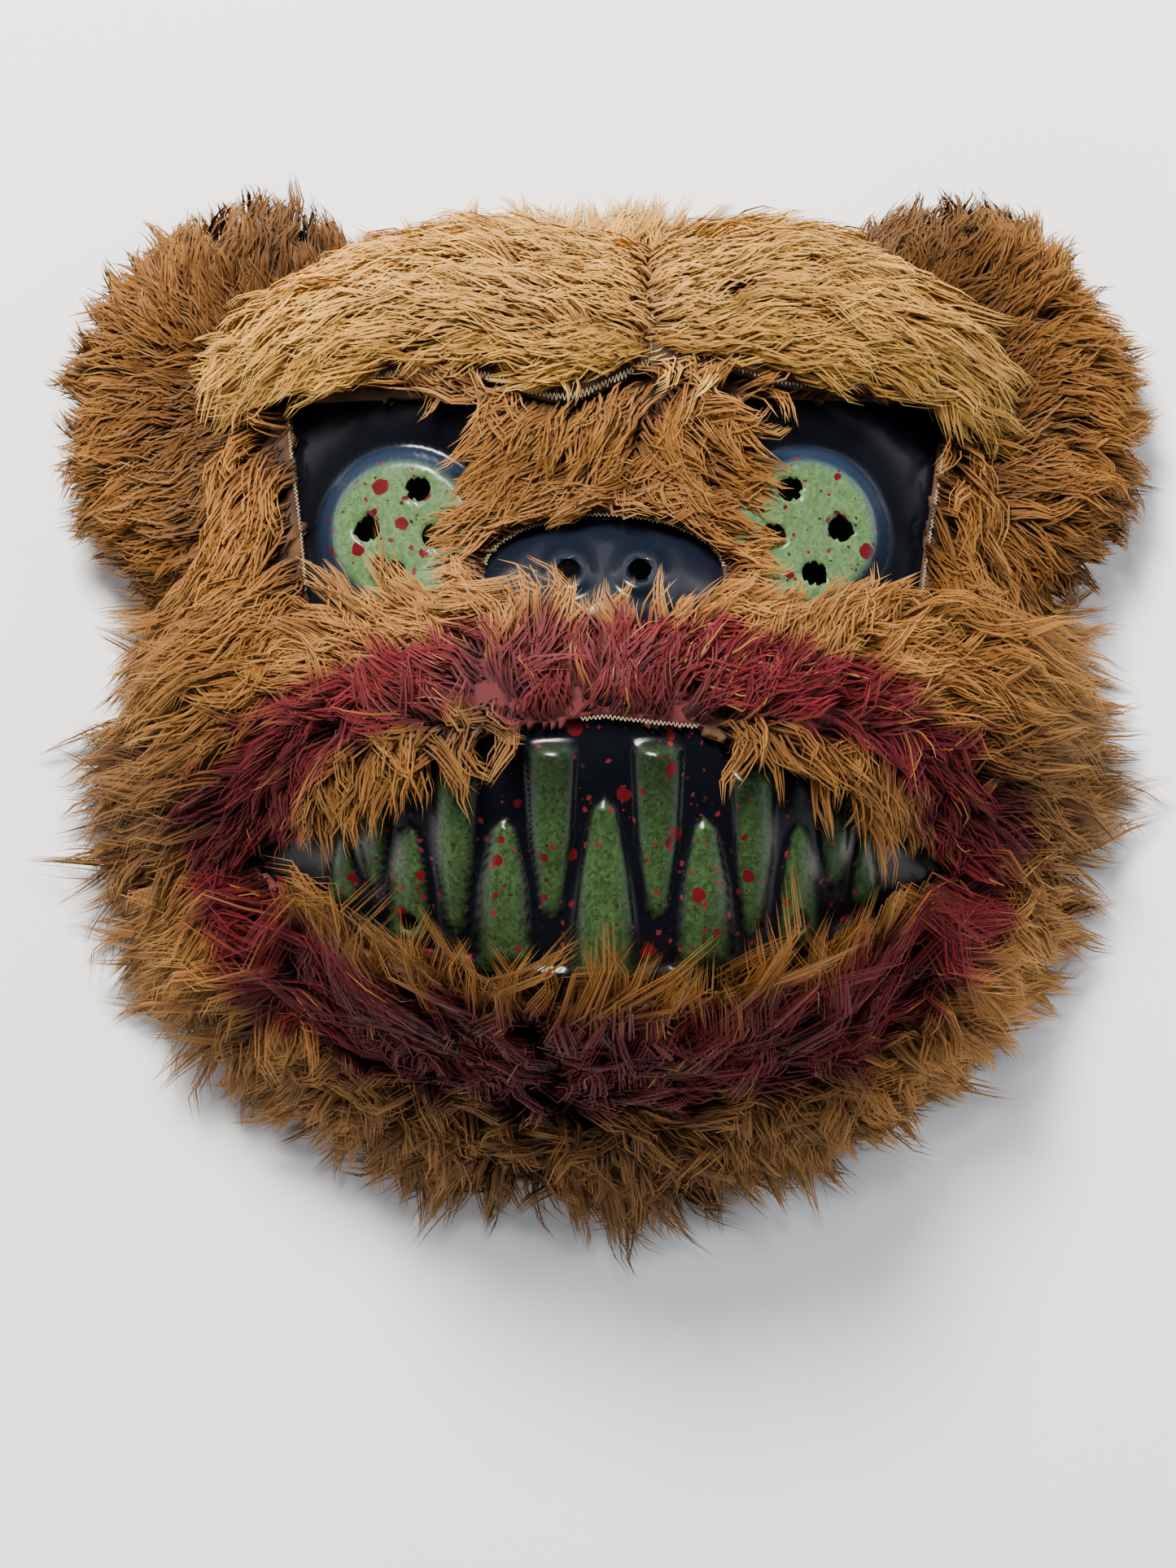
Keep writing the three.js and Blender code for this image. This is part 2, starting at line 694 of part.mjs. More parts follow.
// The band stands on its edge inside the rim and bows towards the crown, its ends flush with the shell's wall
function bandSolid() {
  const route = new THREE.CatmullRomCurve3([
    new THREE.Vector3(-shellHalfWidth, bandAnchorLevel - 24, 0),
    new THREE.Vector3(-shellHalfWidth * 0.8, bandAnchorLevel + bandBow * 0.3, 0),
    new THREE.Vector3(-shellHalfWidth * 0.42, bandAnchorLevel + bandBow * 0.86, 0),
    new THREE.Vector3(0, bandAnchorLevel + bandBow, 0),
    new THREE.Vector3(shellHalfWidth * 0.42, bandAnchorLevel + bandBow * 0.86, 0),
    new THREE.Vector3(shellHalfWidth * 0.8, bandAnchorLevel + bandBow * 0.3, 0),
    new THREE.Vector3(shellHalfWidth, bandAnchorLevel - 24, 0),
  ], false, 'centripetal').getPoints(26);
  const edge = (share) => route.map((p, i) => {
    const before = route[Math.max(i - 1, 0)];
    const after = route[Math.min(i + 1, route.length - 1)];
    const across = new THREE.Vector2(before.y - after.y, after.x - before.x).normalize();
    return new THREE.Vector2(p.x, p.y).addScaledVector(across, share * bandThickness);
  });
  const shape = new THREE.Shape([...edge(-0.5), ...edge(0.5).reverse()]);
  const geometry = new THREE.ExtrudeGeometry(shape, { depth: bandWidth, bevelEnabled: false });
  geometry.translate(0, 0, hemLift);
  return toSolid(geometry).intersect(filled(-(shellWall + seatGap)));
}

const blackPlastic = { color: 0x101216, roughness: 0.22, metalness: 0 };
const brownPlush = { color: 0xa8733a, roughness: 0.95, metalness: 0 };
const lightPlush = { color: 0xc08c4c, roughness: 0.95, metalness: 0 };
const blackElastic = { color: 0x17171a, roughness: 0.85, metalness: 0 };

function piece(name, solid, finish) {
  const mesh = new THREE.Mesh(toGeometry(solid), new THREE.MeshStandardMaterial(finish));
  mesh.name = name;
  return mesh;
}

const mask = new THREE.Group();
mask.add(piece('face_shell', shellSolid(), blackPlastic));
mask.add(piece('face_plush', panelSolid(facePrism(), [...windowRows.map(windowPrism), noseWindow()]), brownPlush));
mask.add(piece('jaw_plush', panelSolid(jawPrism(), []), brownPlush));
mask.add(piece('crown_plush', panelSolid(crownPrism(), []), brownPlush));
mask.add(piece('brow_left', browSolid(-1), lightPlush));
mask.add(piece('brow_right', browSolid(1), lightPlush));
mask.add(piece('ear_left', earSolid(-1), brownPlush));
mask.add(piece('ear_right', earSolid(1), brownPlush));
mask.add(piece('head_band', bandSolid(), blackElastic));

// The mask's middle stands over the origin
const extent = new THREE.Box3().setFromObject(mask);
const middle = extent.getCenter(new THREE.Vector3());
mask.position.set(-middle.x, -middle.y, 0);

export default mask;
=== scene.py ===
# %% [markdown]
# A plush bear face mask, lying face up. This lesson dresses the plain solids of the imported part:
# the shell gets its smooth formed sheet and its paint, and the plush gets its backing and its pile.
# The frame holds the solids at their real size in metres, so each piece goes where its solid is,
# with no fitting.

import math

import bpy
import numpy as np
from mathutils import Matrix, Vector
from mathutils.bvhtree import BVHTree


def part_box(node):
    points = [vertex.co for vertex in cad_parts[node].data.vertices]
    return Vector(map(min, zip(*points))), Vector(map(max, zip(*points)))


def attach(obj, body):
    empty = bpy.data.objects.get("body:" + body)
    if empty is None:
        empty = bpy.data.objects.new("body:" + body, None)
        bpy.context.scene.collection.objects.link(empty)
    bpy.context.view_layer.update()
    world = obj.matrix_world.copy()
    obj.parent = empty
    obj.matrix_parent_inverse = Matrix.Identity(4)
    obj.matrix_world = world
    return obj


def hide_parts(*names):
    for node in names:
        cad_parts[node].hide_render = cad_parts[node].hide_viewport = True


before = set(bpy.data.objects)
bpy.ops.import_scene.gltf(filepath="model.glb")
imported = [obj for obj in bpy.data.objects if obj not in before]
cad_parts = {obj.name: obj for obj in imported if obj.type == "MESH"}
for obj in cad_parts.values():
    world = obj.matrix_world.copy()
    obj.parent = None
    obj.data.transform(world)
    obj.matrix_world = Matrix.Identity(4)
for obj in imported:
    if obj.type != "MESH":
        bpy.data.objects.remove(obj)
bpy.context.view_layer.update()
MM = 0.001
CHANCE = np.random.default_rng(7)
print("nodes:", sorted(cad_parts))

# %% [markdown]
# The sheet and the plush both follow one smooth form. It could be read off the faceted solid, but a
# formula has no facets, so the solid's own recipe is written again here: a rim curve, and a height
# over rings that shrink from it. Lengths are millimetres and are measured from the middle of the
# face, which the shell's box gives.

# %% Sizes of the form
shell_low, shell_high = (np.array(corner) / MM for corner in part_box("face_shell"))
HALF_WIDTH = (shell_high[0] - shell_low[0]) / 2
CROWN_SHARE = 124 / 245
CROWN_REACH = (shell_high[1] - shell_low[1]) * CROWN_SHARE
CHIN_REACH = (shell_high[1] - shell_low[1]) * (1 - CROWN_SHARE)
MIDDLE_Y = shell_low[1] + CHIN_REACH
SHEET = 1.2
SEAT_GAP = 0.4
HEM_LIFT = 1.2
RIM_ROWS = [
    {"across": 0, "along": 1}, {"across": 0.44, "along": 0.96}, {"across": 0.74, "along": 0.82},
    {"across": 0.9, "along": 0.55}, {"across": 0.97, "along": 0.18}, {"across": 1, "along": -0.2},
    {"across": 0.95, "along": -0.52}, {"across": 0.73, "along": -0.8}, {"across": 0.38, "along": -0.96},
    {"across": 0, "along": -1},
]
SWELLINGS = [
    {"name": "dome", "rise": 62},
    {"name": "muzzle", "rise": 33, "x": 0, "y": -32, "wide": 92, "high": 82, "power": 1.6},
    {"name": "forehead", "rise": 9, "x": 0, "y": 92, "wide": 96, "high": 34, "power": 1},
    {"name": "right socket", "rise": -5, "x": 54, "y": 46, "wide": 40, "high": 32, "power": 1},
    {"name": "left socket", "rise": -5, "x": -54, "y": 46, "wide": 40, "high": 32, "power": 1},
    {"name": "mouth", "rise": -7, "x": 0, "y": -41, "wide": 96, "high": 39, "power": 1},
]
print(f"shell {2 * HALF_WIDTH:.0f} by {CROWN_REACH + CHIN_REACH:.0f} mm, middle at y {MIDDLE_Y:.1f}")


# %% A smooth closed curve through a few points
def smooth_curve(points, closed, count):
    """Points along a centripetal Catmull-Rom curve, count for each of its spans."""
    points = np.asarray(points, float)
    size = len(points)
    spans = size if closed else size - 1
    found = []
    for i in range(spans):
        if closed:
            a, b, c, d = (points[(i + k) % size] for k in (-1, 0, 1, 2))
        else:
            b, c = points[i], points[i + 1]
            a = points[i - 1] if i else 2 * b - c
            d = points[i + 2] if i + 2 < size else 2 * c - b
        before, here, after = (max(np.linalg.norm(q - p), 1e-6) ** 0.5 for p, q in ((a, b), (b, c), (c, d)))
        leave = ((b - a) / before - (c - a) / (before + here) + (c - b) / here) * here
        arrive = ((c - b) / here - (d - b) / (here + after) + (d - c) / after) * here
        for t in np.arange(count) / count:
            found.append(b + leave * t + (3 * (c - b) - 2 * leave - arrive) * t ** 2
                         + (2 * (b - c) + leave + arrive) * t ** 3)
    if not closed:
        found.append(points[-1])
    return np.array(found)


right = [(row["across"] * HALF_WIDTH, row["along"] * (CROWN_REACH if row["along"] > 0 else CHIN_REACH))
         for row in RIM_ROWS]
rim_line = smooth_curve(right + [(-x, y) for x, y in right[-2:0:-1]], True, 40)
rim_bearing = np.arctan2(rim_line[:, 1], rim_line[:, 0])
rim_reach = np.hypot(rim_line[:, 0], rim_line[:, 1])
rim_order = np.argsort(rim_bearing)


def rim_places(count):
    """Points of the rim, one for each spoke of a net."""
    spoke = np.linspace(0, len(rim_line), count, endpoint=False)
    whole = np.append(rim_line, rim_line[:1], 0)
    return np.stack([np.interp(spoke, np.arange(len(whole)), whole[:, k]) for k in (0, 1)], -1)


print(f"rim of {len(rim_line)} points")


# %% The height of the form anywhere in the plan
def ring_of(x, y):
    """0 in the middle of the face, 1 on the rim."""
    reach = np.interp(np.arctan2(y, x), rim_bearing[rim_order], rim_reach[rim_order], period=2 * math.pi)
    return np.hypot(x, y) / reach


def form_height(x, y):
    x, y = np.asarray(x, float), np.asarray(y, float)
    shoulder = np.sqrt(np.clip(1 - np.minimum(ring_of(x, y), 1) ** 3, 0, 1))
    relief = np.zeros_like(x + y)
    for s in SWELLINGS[1:]:
        reach = (((x - s["x"]) / s["wide"]) ** 2 + ((y - s["y"]) / s["high"]) ** 2) ** s["power"]
        relief = relief + s["rise"] * np.clip(1 - reach, 0, 1) ** 2
    return SWELLINGS[0]["rise"] * shoulder + relief * np.minimum(1, 1.6 * shoulder)


def fade(low, high, value):
    """0 below low, 1 above high and smooth between."""
    t = np.clip((value - low) / (high - low), 0, 1)
    return t * t * (3 - 2 * t)


def ripple(x, y, size, seed=0.0):
    """A soft wandering value from -1 to 1 whose waves are about size millimetres long."""
    k = 2 * math.pi / size
    a = np.sin(k * (x + 0.37 * y) + 1.7 * seed + 1.3 * np.sin(k * 0.61 * y + seed))
    b = np.sin(k * (0.83 * y - 0.29 * x) + 2.9 * seed + 1.1 * np.sin(k * 0.53 * x + 2 * seed))
    return (a + b) / 2


print(f"form height: {form_height(0, 0):.1f} mm in the middle, {form_height(0, -30):.1f} mm on the muzzle")

# %% [markdown]
# The eyes, the nose and the teeth aren't separate pieces. The plastic sheet is drawn over a mould
# that carries them, so each is a bump in one surface with soft edges. A height added to the form
# does exactly that. The tables below hold each bump's place and size.

# %% What is moulded in the sheet
EYE_X, EYE_Y, EYE_R, EYE_RISE, EYE_SLOPE = 54, 46, 20, 9, 4
NOSE_Y, NOSE_WIDE, NOSE_HIGH, NOSE_RISE = 33, 34, 15, 9
NOSTRIL_X, NOSTRIL_Y, NOSTRIL_R = 9.5, NOSE_Y + NOSE_HIGH * 0.15, 3
MOUTH_Y, MOUTH_WIDE, MOUTH_UP, MOUTH_DOWN = -41, 96, 37, 39
EYE_HOLE_R, TOOTH_HOLE_R = 3.5, 2.5
EYE_HOLES = [{"inward": 0.2, "up": 0.58}, {"inward": -0.48, "up": 0.04}, {"inward": 0.43, "up": -0.06},
             {"inward": -0.12, "up": -0.56}]
TEETH = [
    {"across": 0, "width": 0.19, "root": -0.8, "tip": 0.4},
    {"across": 0.145, "width": 0.145, "root": 0.72, "tip": -0.4},
    {"across": 0.275, "width": 0.165, "root": -0.7, "tip": 0.26},
    {"across": 0.41, "width": 0.13, "root": 0.54, "tip": -0.5},
    {"across": 0.54, "width": 0.13, "root": -0.54, "tip": 0.22},
    {"across": 0.64, "width": 0.1, "root": 0.4, "tip": -0.2},
    {"across": 0.73, "width": 0.09, "root": -0.3, "tip": 0.17},
]
TOOTH_GIRTH = {"along": [-0.2, 0, 0.55, 0.95, 1.02], "girth": [1.05, 1, 0.82, 0.4, 0]}
TOOTH_RELIEF = 0.62
LIPS = [{"across": 0, "upper": 1, "lower": 1}, {"across": 0.25, "upper": 0.93, "lower": 0.96},
        {"across": 0.5, "upper": 0.68, "lower": 0.82}, {"across": 0.7, "upper": 0.36, "lower": 0.6},
        {"across": 0.88, "upper": 0.14, "lower": 0.3}, {"across": 1, "upper": 0, "lower": 0}]


def mouth_level(share):
    return MOUTH_Y + share * (MOUTH_UP if share > 0 else MOUTH_DOWN)


def lip_level(which, x):
    """The height in the plan of a lip's edge."""
    across = [row["across"] * MOUTH_WIDE for row in LIPS]
    reach = MOUTH_UP if which == "upper" else -MOUTH_DOWN
    return MOUTH_Y + np.interp(np.abs(x), across, [row[which] * reach for row in LIPS])


def tooth_bumps(x, y):
    """Height of the teeth over the form, and how far each place lies inside a tooth."""
    height = np.zeros_like(x)
    inside = np.zeros_like(x)
    for row in TEETH:
        for side in (1, -1) if row["across"] else (1,):
            root, tip = mouth_level(row["root"]), mouth_level(row["tip"])
            along = (y - root) / (tip - root)
            girth = np.interp(along, TOOTH_GIRTH["along"], TOOTH_GIRTH["girth"])
            half = girth * row["width"] * MOUTH_WIDE / 2
            off = (x - side * row["across"] * MOUTH_WIDE) / np.maximum(half, 0.3)
            near = np.clip(1 - off ** 2, 0, 1) * (along > -0.12) * (along < 1.02) * (half > 0.3)
            height = np.maximum(height, TOOTH_RELIEF * half * near ** 0.6 * fade(-0.12, 0.02, along))
            inside = np.maximum(inside, near * fade(-0.12, -0.02, along))
    return height, inside


def sheet_relief(x, y):
    """Everything that the mould adds to the form."""
    height = np.zeros_like(x)
    for side in (-1, 1):
        off = np.hypot(x - side * EYE_X, y - EYE_Y)
        dome = EYE_RISE * 0.75 * (1 - fade(EYE_R - 1.5, EYE_R + EYE_SLOPE, off))
        height = np.maximum(height, dome + EYE_RISE * 0.25 * np.clip(1 - (off / EYE_R) ** 2, 0, 1))
    off = (x / NOSE_WIDE) ** 2 + ((y - NOSE_Y) / NOSE_HIGH) ** 2
    nose = NOSE_RISE * np.clip(1 - off, 0, 1) ** 0.62
    for side in (-1, 1):
        rim = np.hypot(x - side * NOSTRIL_X, y - NOSTRIL_Y)
        nose = nose + 1.1 * np.exp(-((rim - NOSTRIL_R - 1.8) / 1.5) ** 2)
        nose = nose - 1.3 * np.exp(-((rim - 8.5) / 2.2) ** 2)
    height = np.maximum(height, np.where(off < 1, nose, 0))
    teeth, _ = tooth_bumps(x, y)
    gum_line = MOUTH_Y + (lip_level("lower", x) - MOUTH_Y) * 0.84
    gum = 3 * np.sqrt(np.clip(1 - ((y - gum_line) / 3) ** 2, 0, 1)) * (np.abs(x) < MOUTH_WIDE * 0.72)
    slack = 0.35 * ripple(x, y, 34, 2.0) + 0.15 * ripple(x, y, 13, 5.0)
    return np.maximum(height, np.maximum(teeth, gum)) + slack * (1 - fade(0.85, 0.97, ring_of(x, y)))


# %% [markdown]
# The sheet is a net of rings and spokes, fine enough for a tooth's edge. Where a peep hole goes,
# the faces inside it are left out and the points beside it move onto its circle, which cuts clean
# round holes without a boolean. A Solidify modifier then gives the sheet its real thickness, with
# walls in the holes and at the rim.

# %% Nets of points, and meshes over them
def wrapped(net):
    """The net with its first column again at its end, so that it closes round."""
    return np.concatenate([net, net[:, :1]], 1)


def cell_middles(net):
    net = wrapped(net)
    return (net[:-1, :-1] + net[1:, :-1] + net[:-1, 1:] + net[1:, 1:]) / 4


def net_mesh(name, points, keep, closed_around=False):
    """A mesh over a net of points (rows, columns, 3) in millimetres, with the faces where keep is true."""
    number = np.arange(points[..., 0].size).reshape(points.shape[:2])
    if closed_around:
        number = wrapped(number)
    a, b, c, d = number[:-1, :-1], number[:-1, 1:], number[1:, 1:], number[1:, :-1]
    faces = np.stack([a, b, c, d], -1)[keep].reshape(-1, 4)
    used, where = np.unique(faces, return_inverse=True)
    mesh = bpy.data.meshes.new(name)
    mesh.from_pydata((points.reshape(-1, 3)[used] * MM).tolist(), [], where.reshape(-1, 4).tolist())
    return mesh, used


def in_frame(x, y, z):
    """Points of the face in the frame's own millimetres."""
    return np.stack([x, np.asarray(y) + MIDDLE_Y, z], -1)


def add_object(name, mesh, *materials):
    piece = bpy.data.objects.new(name.replace(" ", "_"), mesh)
    bpy.context.collection.objects.link(piece)
    for material in materials:
        mesh.materials.append(material)
    return piece


def smooth_faces(mesh):
    mesh.polygons.foreach_set("use_smooth", np.ones(len(mesh.polygons), bool))


def bake_modifiers(piece):
    """Applies the modifiers, so that the piece is a plain mesh."""
    depsgraph = bpy.context.evaluated_depsgraph_get()
    piece.data = bpy.data.meshes.new_from_object(piece.evaluated_get(depsgraph))
    piece.modifiers.clear()


# %% Build the sheet
SHEET_RINGS, SHEET_SPOKES = 118, 250
RIM_RINGS, INNERMOST = 12, 0.02
HOLE_SNAP = 0.75
even = np.linspace(0.03, 0.93, SHEET_RINGS - RIM_RINGS - 1)
crowded = 1 - np.linspace(0.262, 0, RIM_RINGS) ** 2
share = np.concatenate([[INNERMOST], even, crowded])
plan_x, plan_y = np.moveaxis(share[:, None, None] * rim_places(SHEET_SPOKES), -1, 0)
holes = []
for side in (-1, 1):
    for row in EYE_HOLES:
        holes.append((side * (EYE_X - row["inward"] * EYE_R), EYE_Y + row["up"] * EYE_R, EYE_HOLE_R))
    holes.append((side * NOSTRIL_X, NOSTRIL_Y, NOSTRIL_R))
    pierced = TEETH[4]
    holes.append((side * pierced["across"] * MOUTH_WIDE, mouth_level(pierced["root"] * 0.85), TOOTH_HOLE_R))
for x, y, r in holes:
    off = np.hypot(plan_x - x, plan_y - y)
    beside = np.abs(off - r) < HOLE_SNAP
    plan_x[beside] = x + (plan_x[beside] - x) * r / off[beside]
    plan_y[beside] = y + (plan_y[beside] - y) * r / off[beside]
solid = np.ones((len(share) - 1, SHEET_SPOKES), bool)
middle_x, middle_y = cell_middles(plan_x), cell_middles(plan_y)
for x, y, r in holes:
    solid &= np.hypot(middle_x - x, middle_y - y) > r * 0.97
sheet_z = form_height(plan_x, plan_y) + sheet_relief(plan_x, plan_y) * fade(1, 0.96, share)[:, None]
sheet_z[-1] = 0
sheet_mesh, used = net_mesh("face shell", in_frame(plan_x, plan_y, sheet_z), solid, closed_around=True)
print(f"sheet: {len(sheet_mesh.polygons)} faces, {len(holes)} holes")

# %% [markdown]
# Colours are read as sRGB hex values, as in any paint program, and Blender works in linear light,
# so one function turns them. One more adds a node with its settings and links, which keeps each
# material a short list.

# %% Colour and node helpers
def colour(code):
    """An sRGB hex colour as linear light."""
    parts = [int(code[i:i + 2], 16) / 255 for i in (1, 3, 5)]
    return (*(v / 12.92 if v <= 0.04045 else ((v + 0.055) / 1.055) ** 2.4 for v in parts), 1)


def add_node(tree, kind, sockets=(), **settings):
    """Adds a node. sockets maps an input to its value or to the output that feeds it."""
    node = tree.nodes.new(kind)
    for name, value in settings.items():
        setattr(node, name, value)
    for name, value in dict(sockets).items():
        if isinstance(value, bpy.types.NodeSocket):
            tree.links.new(value, node.inputs[name])
        else:
            node.inputs[name].default_value = value
    return node


def new_material(name, settings):
    """A material whose shader has these plain settings, with its node tree and its shader."""
    material = bpy.data.materials.new(name)
    material.use_nodes = True
    shader = material.node_tree.nodes["Principled BSDF"]
    for socket, value in settings.items():
        shader.inputs[socket].default_value = value
    return material, material.node_tree, shader


def set_values(mesh, name, values):
    """A number or a colour for each vertex."""
    values = np.asarray(values, np.float32)
    if values.ndim == 1:
        mesh.attributes.new(name, "FLOAT", "POINT").data.foreach_set("value", values)
    else:
        mesh.attributes.new(name, "FLOAT_COLOR", "POINT").data.foreach_set("color", values.ravel())


print("the sheet's black in linear light:", [round(v, 4) for v in colour("#050609")[:3]])

# %% [markdown]
# The sheet is vacuum formed PVC: black and glossy as it leaves the mould, then sprayed through
# stencils. The paint is a set of soft masks, one value for each vertex, because a sprayed edge is a
# millimetre wide. The flicked drops are smaller than the net, so a Voronoi pattern draws them, one
# drop in each cell of real size.

# %% Masks of the sprayed paint
at = in_frame(plan_x, plan_y, sheet_z).reshape(-1, 3)[used]
px, py = at[:, 0], at[:, 1] - MIDDLE_Y
eye_off = np.minimum(*(np.hypot(px - side * EYE_X, py - EYE_Y) for side in (-1, 1)))
_, in_tooth = tooth_bumps(px, py)
in_mouth = fade(-4, 3, py - lip_level("lower", px)) * fade(-4, 3, lip_level("upper", px) - py)
set_values(sheet_mesh, "eye_paint", fade(EYE_R + 0.2, EYE_R - 1.6, eye_off))
eye_edge = fade(EYE_R - 3.2, EYE_R - 0.2, eye_off) * fade(EYE_R + 4.4, EYE_R + 1.6, eye_off)
set_values(sheet_mesh, "eye_edge", eye_edge)
# Painted shade: the upper teeth take less green towards their roots, under the lip's pile, so that the black
# shows there.
shaded_above = 0.4 + 0.6 * fade(MOUTH_Y + 30, MOUTH_Y + 2, py)
set_values(sheet_mesh, "tooth_paint_and_shade", fade(0.18, 0.62, in_tooth) * shaded_above)
set_values(sheet_mesh, "drops", np.maximum(fade(EYE_R + 2, EYE_R - 1, eye_off), in_mouth))
nose_off = (px / NOSE_WIDE) ** 2 + ((py - NOSE_Y) / NOSE_HIGH) ** 2
set_values(sheet_mesh, "nose_paint", fade(1.05, 0.75, nose_off))
print(f"painted vertices: {int((in_tooth > 0.4).sum())} on teeth, {int((eye_off < EYE_R).sum())} on eyes")


# %% Material: vacuum formed PVC with sprayed paint
# The paint's real flakes are 0.1 mm, too fine to show, so they are drawn 0.9 mm wide. The sheet's
# gloss varies in patches of 14 mm, as on a mould that is warmer in places. A drop's edge wanders
# over 3 mm.
FLAKE, PATCH, RAGGED, BENT = 0.9, 14, 3, 0.0022
TOOTH_GREENS, EYE_GREENS = ("#1b2913", "#34492b"), ("#3a5030", "#546f48")
# A cell's size in millimetres, and the most of it that its drop takes
DROPS = [{"cell": 6.5, "share": 0.36, "code": "#4b0d12"}, {"cell": 3.1, "share": 0.3, "code": "#581b21"},
         {"cell": 2.3, "share": 0.24, "code": "#2c1a0e"}]


def painted_pvc():
    """Glossy black sheet. It mirrors the lamps softly, and the green paint on it sparkles a little."""
    material, tree, shader = new_material("Vacuum formed PVC, sprayed", {"Specular IOR Level": 0.27})
    mask = {name: add_node(tree, "ShaderNodeAttribute", attribute_name=name).outputs["Fac"]
            for name in ("eye_paint", "eye_edge", "tooth_paint_and_shade", "drops", "nose_paint")}
    place = add_node(tree, "ShaderNodeTexCoord").outputs["Object"]
    flake = add_node(tree, "ShaderNodeTexVoronoi", {"Vector": place, "Scale": 1 / (FLAKE * MM)})
    cloud = add_node(tree, "ShaderNodeTexNoise", {"Vector": place, "Scale": 1 / (PATCH * MM), "Detail": 3})
    greens = []
    for codes in (TOOTH_GREENS, EYE_GREENS):
        ramp = add_node(tree, "ShaderNodeValToRGB", {"Fac": flake.outputs["Color"]})
        for stop, code in zip(ramp.color_ramp.elements, codes):
            stop.color = colour(code)
        greens.append(ramp.outputs["Color"])
    coats = [(cloud.outputs["Fac"], 1, colour("#0b0d14")), (mask["nose_paint"], 0.5, colour("#131a27")),
             (mask["tooth_paint_and_shade"], 1, greens[0]), (mask["eye_paint"], 1, greens[1]),
             (mask["eye_edge"], 0.6, colour("#26344a"))]
    base = colour("#050609")
    for where, cover, paint in coats:
        share = add_node(tree, "ShaderNodeMath", {0: where, 1: cover}, operation="MULTIPLY").outputs[0]
        base = add_node(tree, "ShaderNodeMix", {0: share, 6: base, 7: paint}, data_type="RGBA").outputs[2]
    wander = add_node(tree, "ShaderNodeTexNoise", {"Vector": place, "Scale": 1 / (RAGGED * MM)})
    bend = {0: BENT, 4: place, 5: wander.outputs["Color"]}
    bent = add_node(tree, "ShaderNodeMix", bend, data_type="VECTOR").outputs[1]
    for row in DROPS:
        spot = add_node(tree, "ShaderNodeTexVoronoi", {"Vector": bent, "Scale": 1 / (row["cell"] * MM)})
        chance = add_node(tree, "ShaderNodeSeparateColor", {0: spot.outputs["Color"]})
        reach = chance.outputs[0]
        for operation, value in (("POWER", 1.6), ("MULTIPLY", row["share"])):
            reach = add_node(tree, "ShaderNodeMath", {0: reach, 1: value}, operation=operation).outputs[0]
        pair = {0: spot.outputs["Distance"], 1: reach}
        inside = add_node(tree, "ShaderNodeMath", pair, operation="LESS_THAN").outputs[0]
        drop = add_node(tree, "ShaderNodeMath", {0: inside, 1: mask["drops"]}, operation="MULTIPLY")
        paint = {0: drop.outputs[0], 6: base, 7: colour(row["code"])}
        base = add_node(tree, "ShaderNodeMix", paint, data_type="RGBA").outputs[2]
    tree.links.new(base, shader.inputs["Base Color"])
    smear = add_node(tree, "ShaderNodeMapRange", {0: cloud.outputs["Fac"], 3: 0.13, 4: 0.3}).outputs[0]
    tree.links.new(smear, shader.inputs["Roughness"])
    return material


PAINTED_PVC = painted_pvc()
print("material:", PAINTED_PVC.name)


# %% Thicken the sheet
def thick_piece(name, mesh, thickness, lowest, material):
    """A piece from an open sheet, thickened towards its back, that stays over a lowest level."""
    smooth_faces(mesh)
    piece = add_object(name, mesh, material)
    if mesh.polygons[len(mesh.polygons) // 2].normal.z < 0:
        mesh.flip_normals()
    thicken = piece.modifiers.new("thickness", "SOLIDIFY")
    thicken.thickness = thickness * MM
    thicken.offset = -1
    bake_modifiers(piece)
    for vertex in piece.data.vertices:
        vertex.co.z = max(vertex.co.z, lowest * MM)
    return piece


sheet_mesh.validate()
shell = thick_piece("face shell", sheet_mesh, SHEET, 0, PAINTED_PVC)
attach(shell, "root")
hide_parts("face_shell")
print(f"shell: {len(shell.data.polygons)} faces")

# %% [markdown]
# The plush is cut in panels: face, jaw and crown. Each is a knit backing that lies on the shell,
# and the pile that grows from it. The backing is the same net of rings and spokes, moved out by its
# thickness, and only the faces inside the panel's outline are kept. Points near an outline move
# onto it, so that the cut runs clean.

# %% Outlines of the panels
CHEEK_SEAM_Y, BROW_SEAM_Y, WINDOW_TOP, WINDOW_FOOT = 6, 87, 82, 24
WINDOWS = [{"side": -1, "inner_top": 30, "outer_top": 85, "inner_foot": 36, "outer_foot": 79},
           {"side": 1, "inner_top": 37, "outer_top": 93, "inner_foot": 36, "outer_foot": 84}]
NOSE_MARGIN = 2.5
BACKING = 2.4
HEAD_RINGS, HEAD_SPOKES = 72, 220


def seam_level(which, x):
    """The lip inside the mouth's width, and from its corner the cheek seam."""
    return np.where(np.abs(x) < MOUTH_WIDE, lip_level(which, x),
                    np.interp(np.abs(x), [MOUTH_WIDE, HALF_WIDTH], [MOUTH_Y, CHEEK_SEAM_Y]))


def window_edges(row, y):
    t = (y - WINDOW_FOOT) / (WINDOW_TOP - WINDOW_FOOT)
    return (row["inner_foot"] + (row["inner_top"] - row["inner_foot"]) * t,
            row["outer_foot"] + (row["outer_top"] - row["outer_foot"]) * t)


def nose_share(x, y):
    return np.hypot(x / (NOSE_WIDE - NOSE_MARGIN), (y - NOSE_Y) / (NOSE_HIGH + NOSE_MARGIN))


def in_face(x, y, grow=0.0):
    """Inside the face panel. A positive grow shrinks its windows by as many millimetres."""
    inside = (y > seam_level("upper", x) - grow) & (y < BROW_SEAM_Y)
    for row in WINDOWS:
        inner, outer = window_edges(row, y)
        across = x * row["side"]
        inside &= ~((across > inner + grow) & (across < outer - grow) & (y > WINDOW_FOOT + grow)
                    & (y < WINDOW_TOP - grow))
    return inside & (nose_share(x, y) > 1 - grow / NOSE_HIGH)


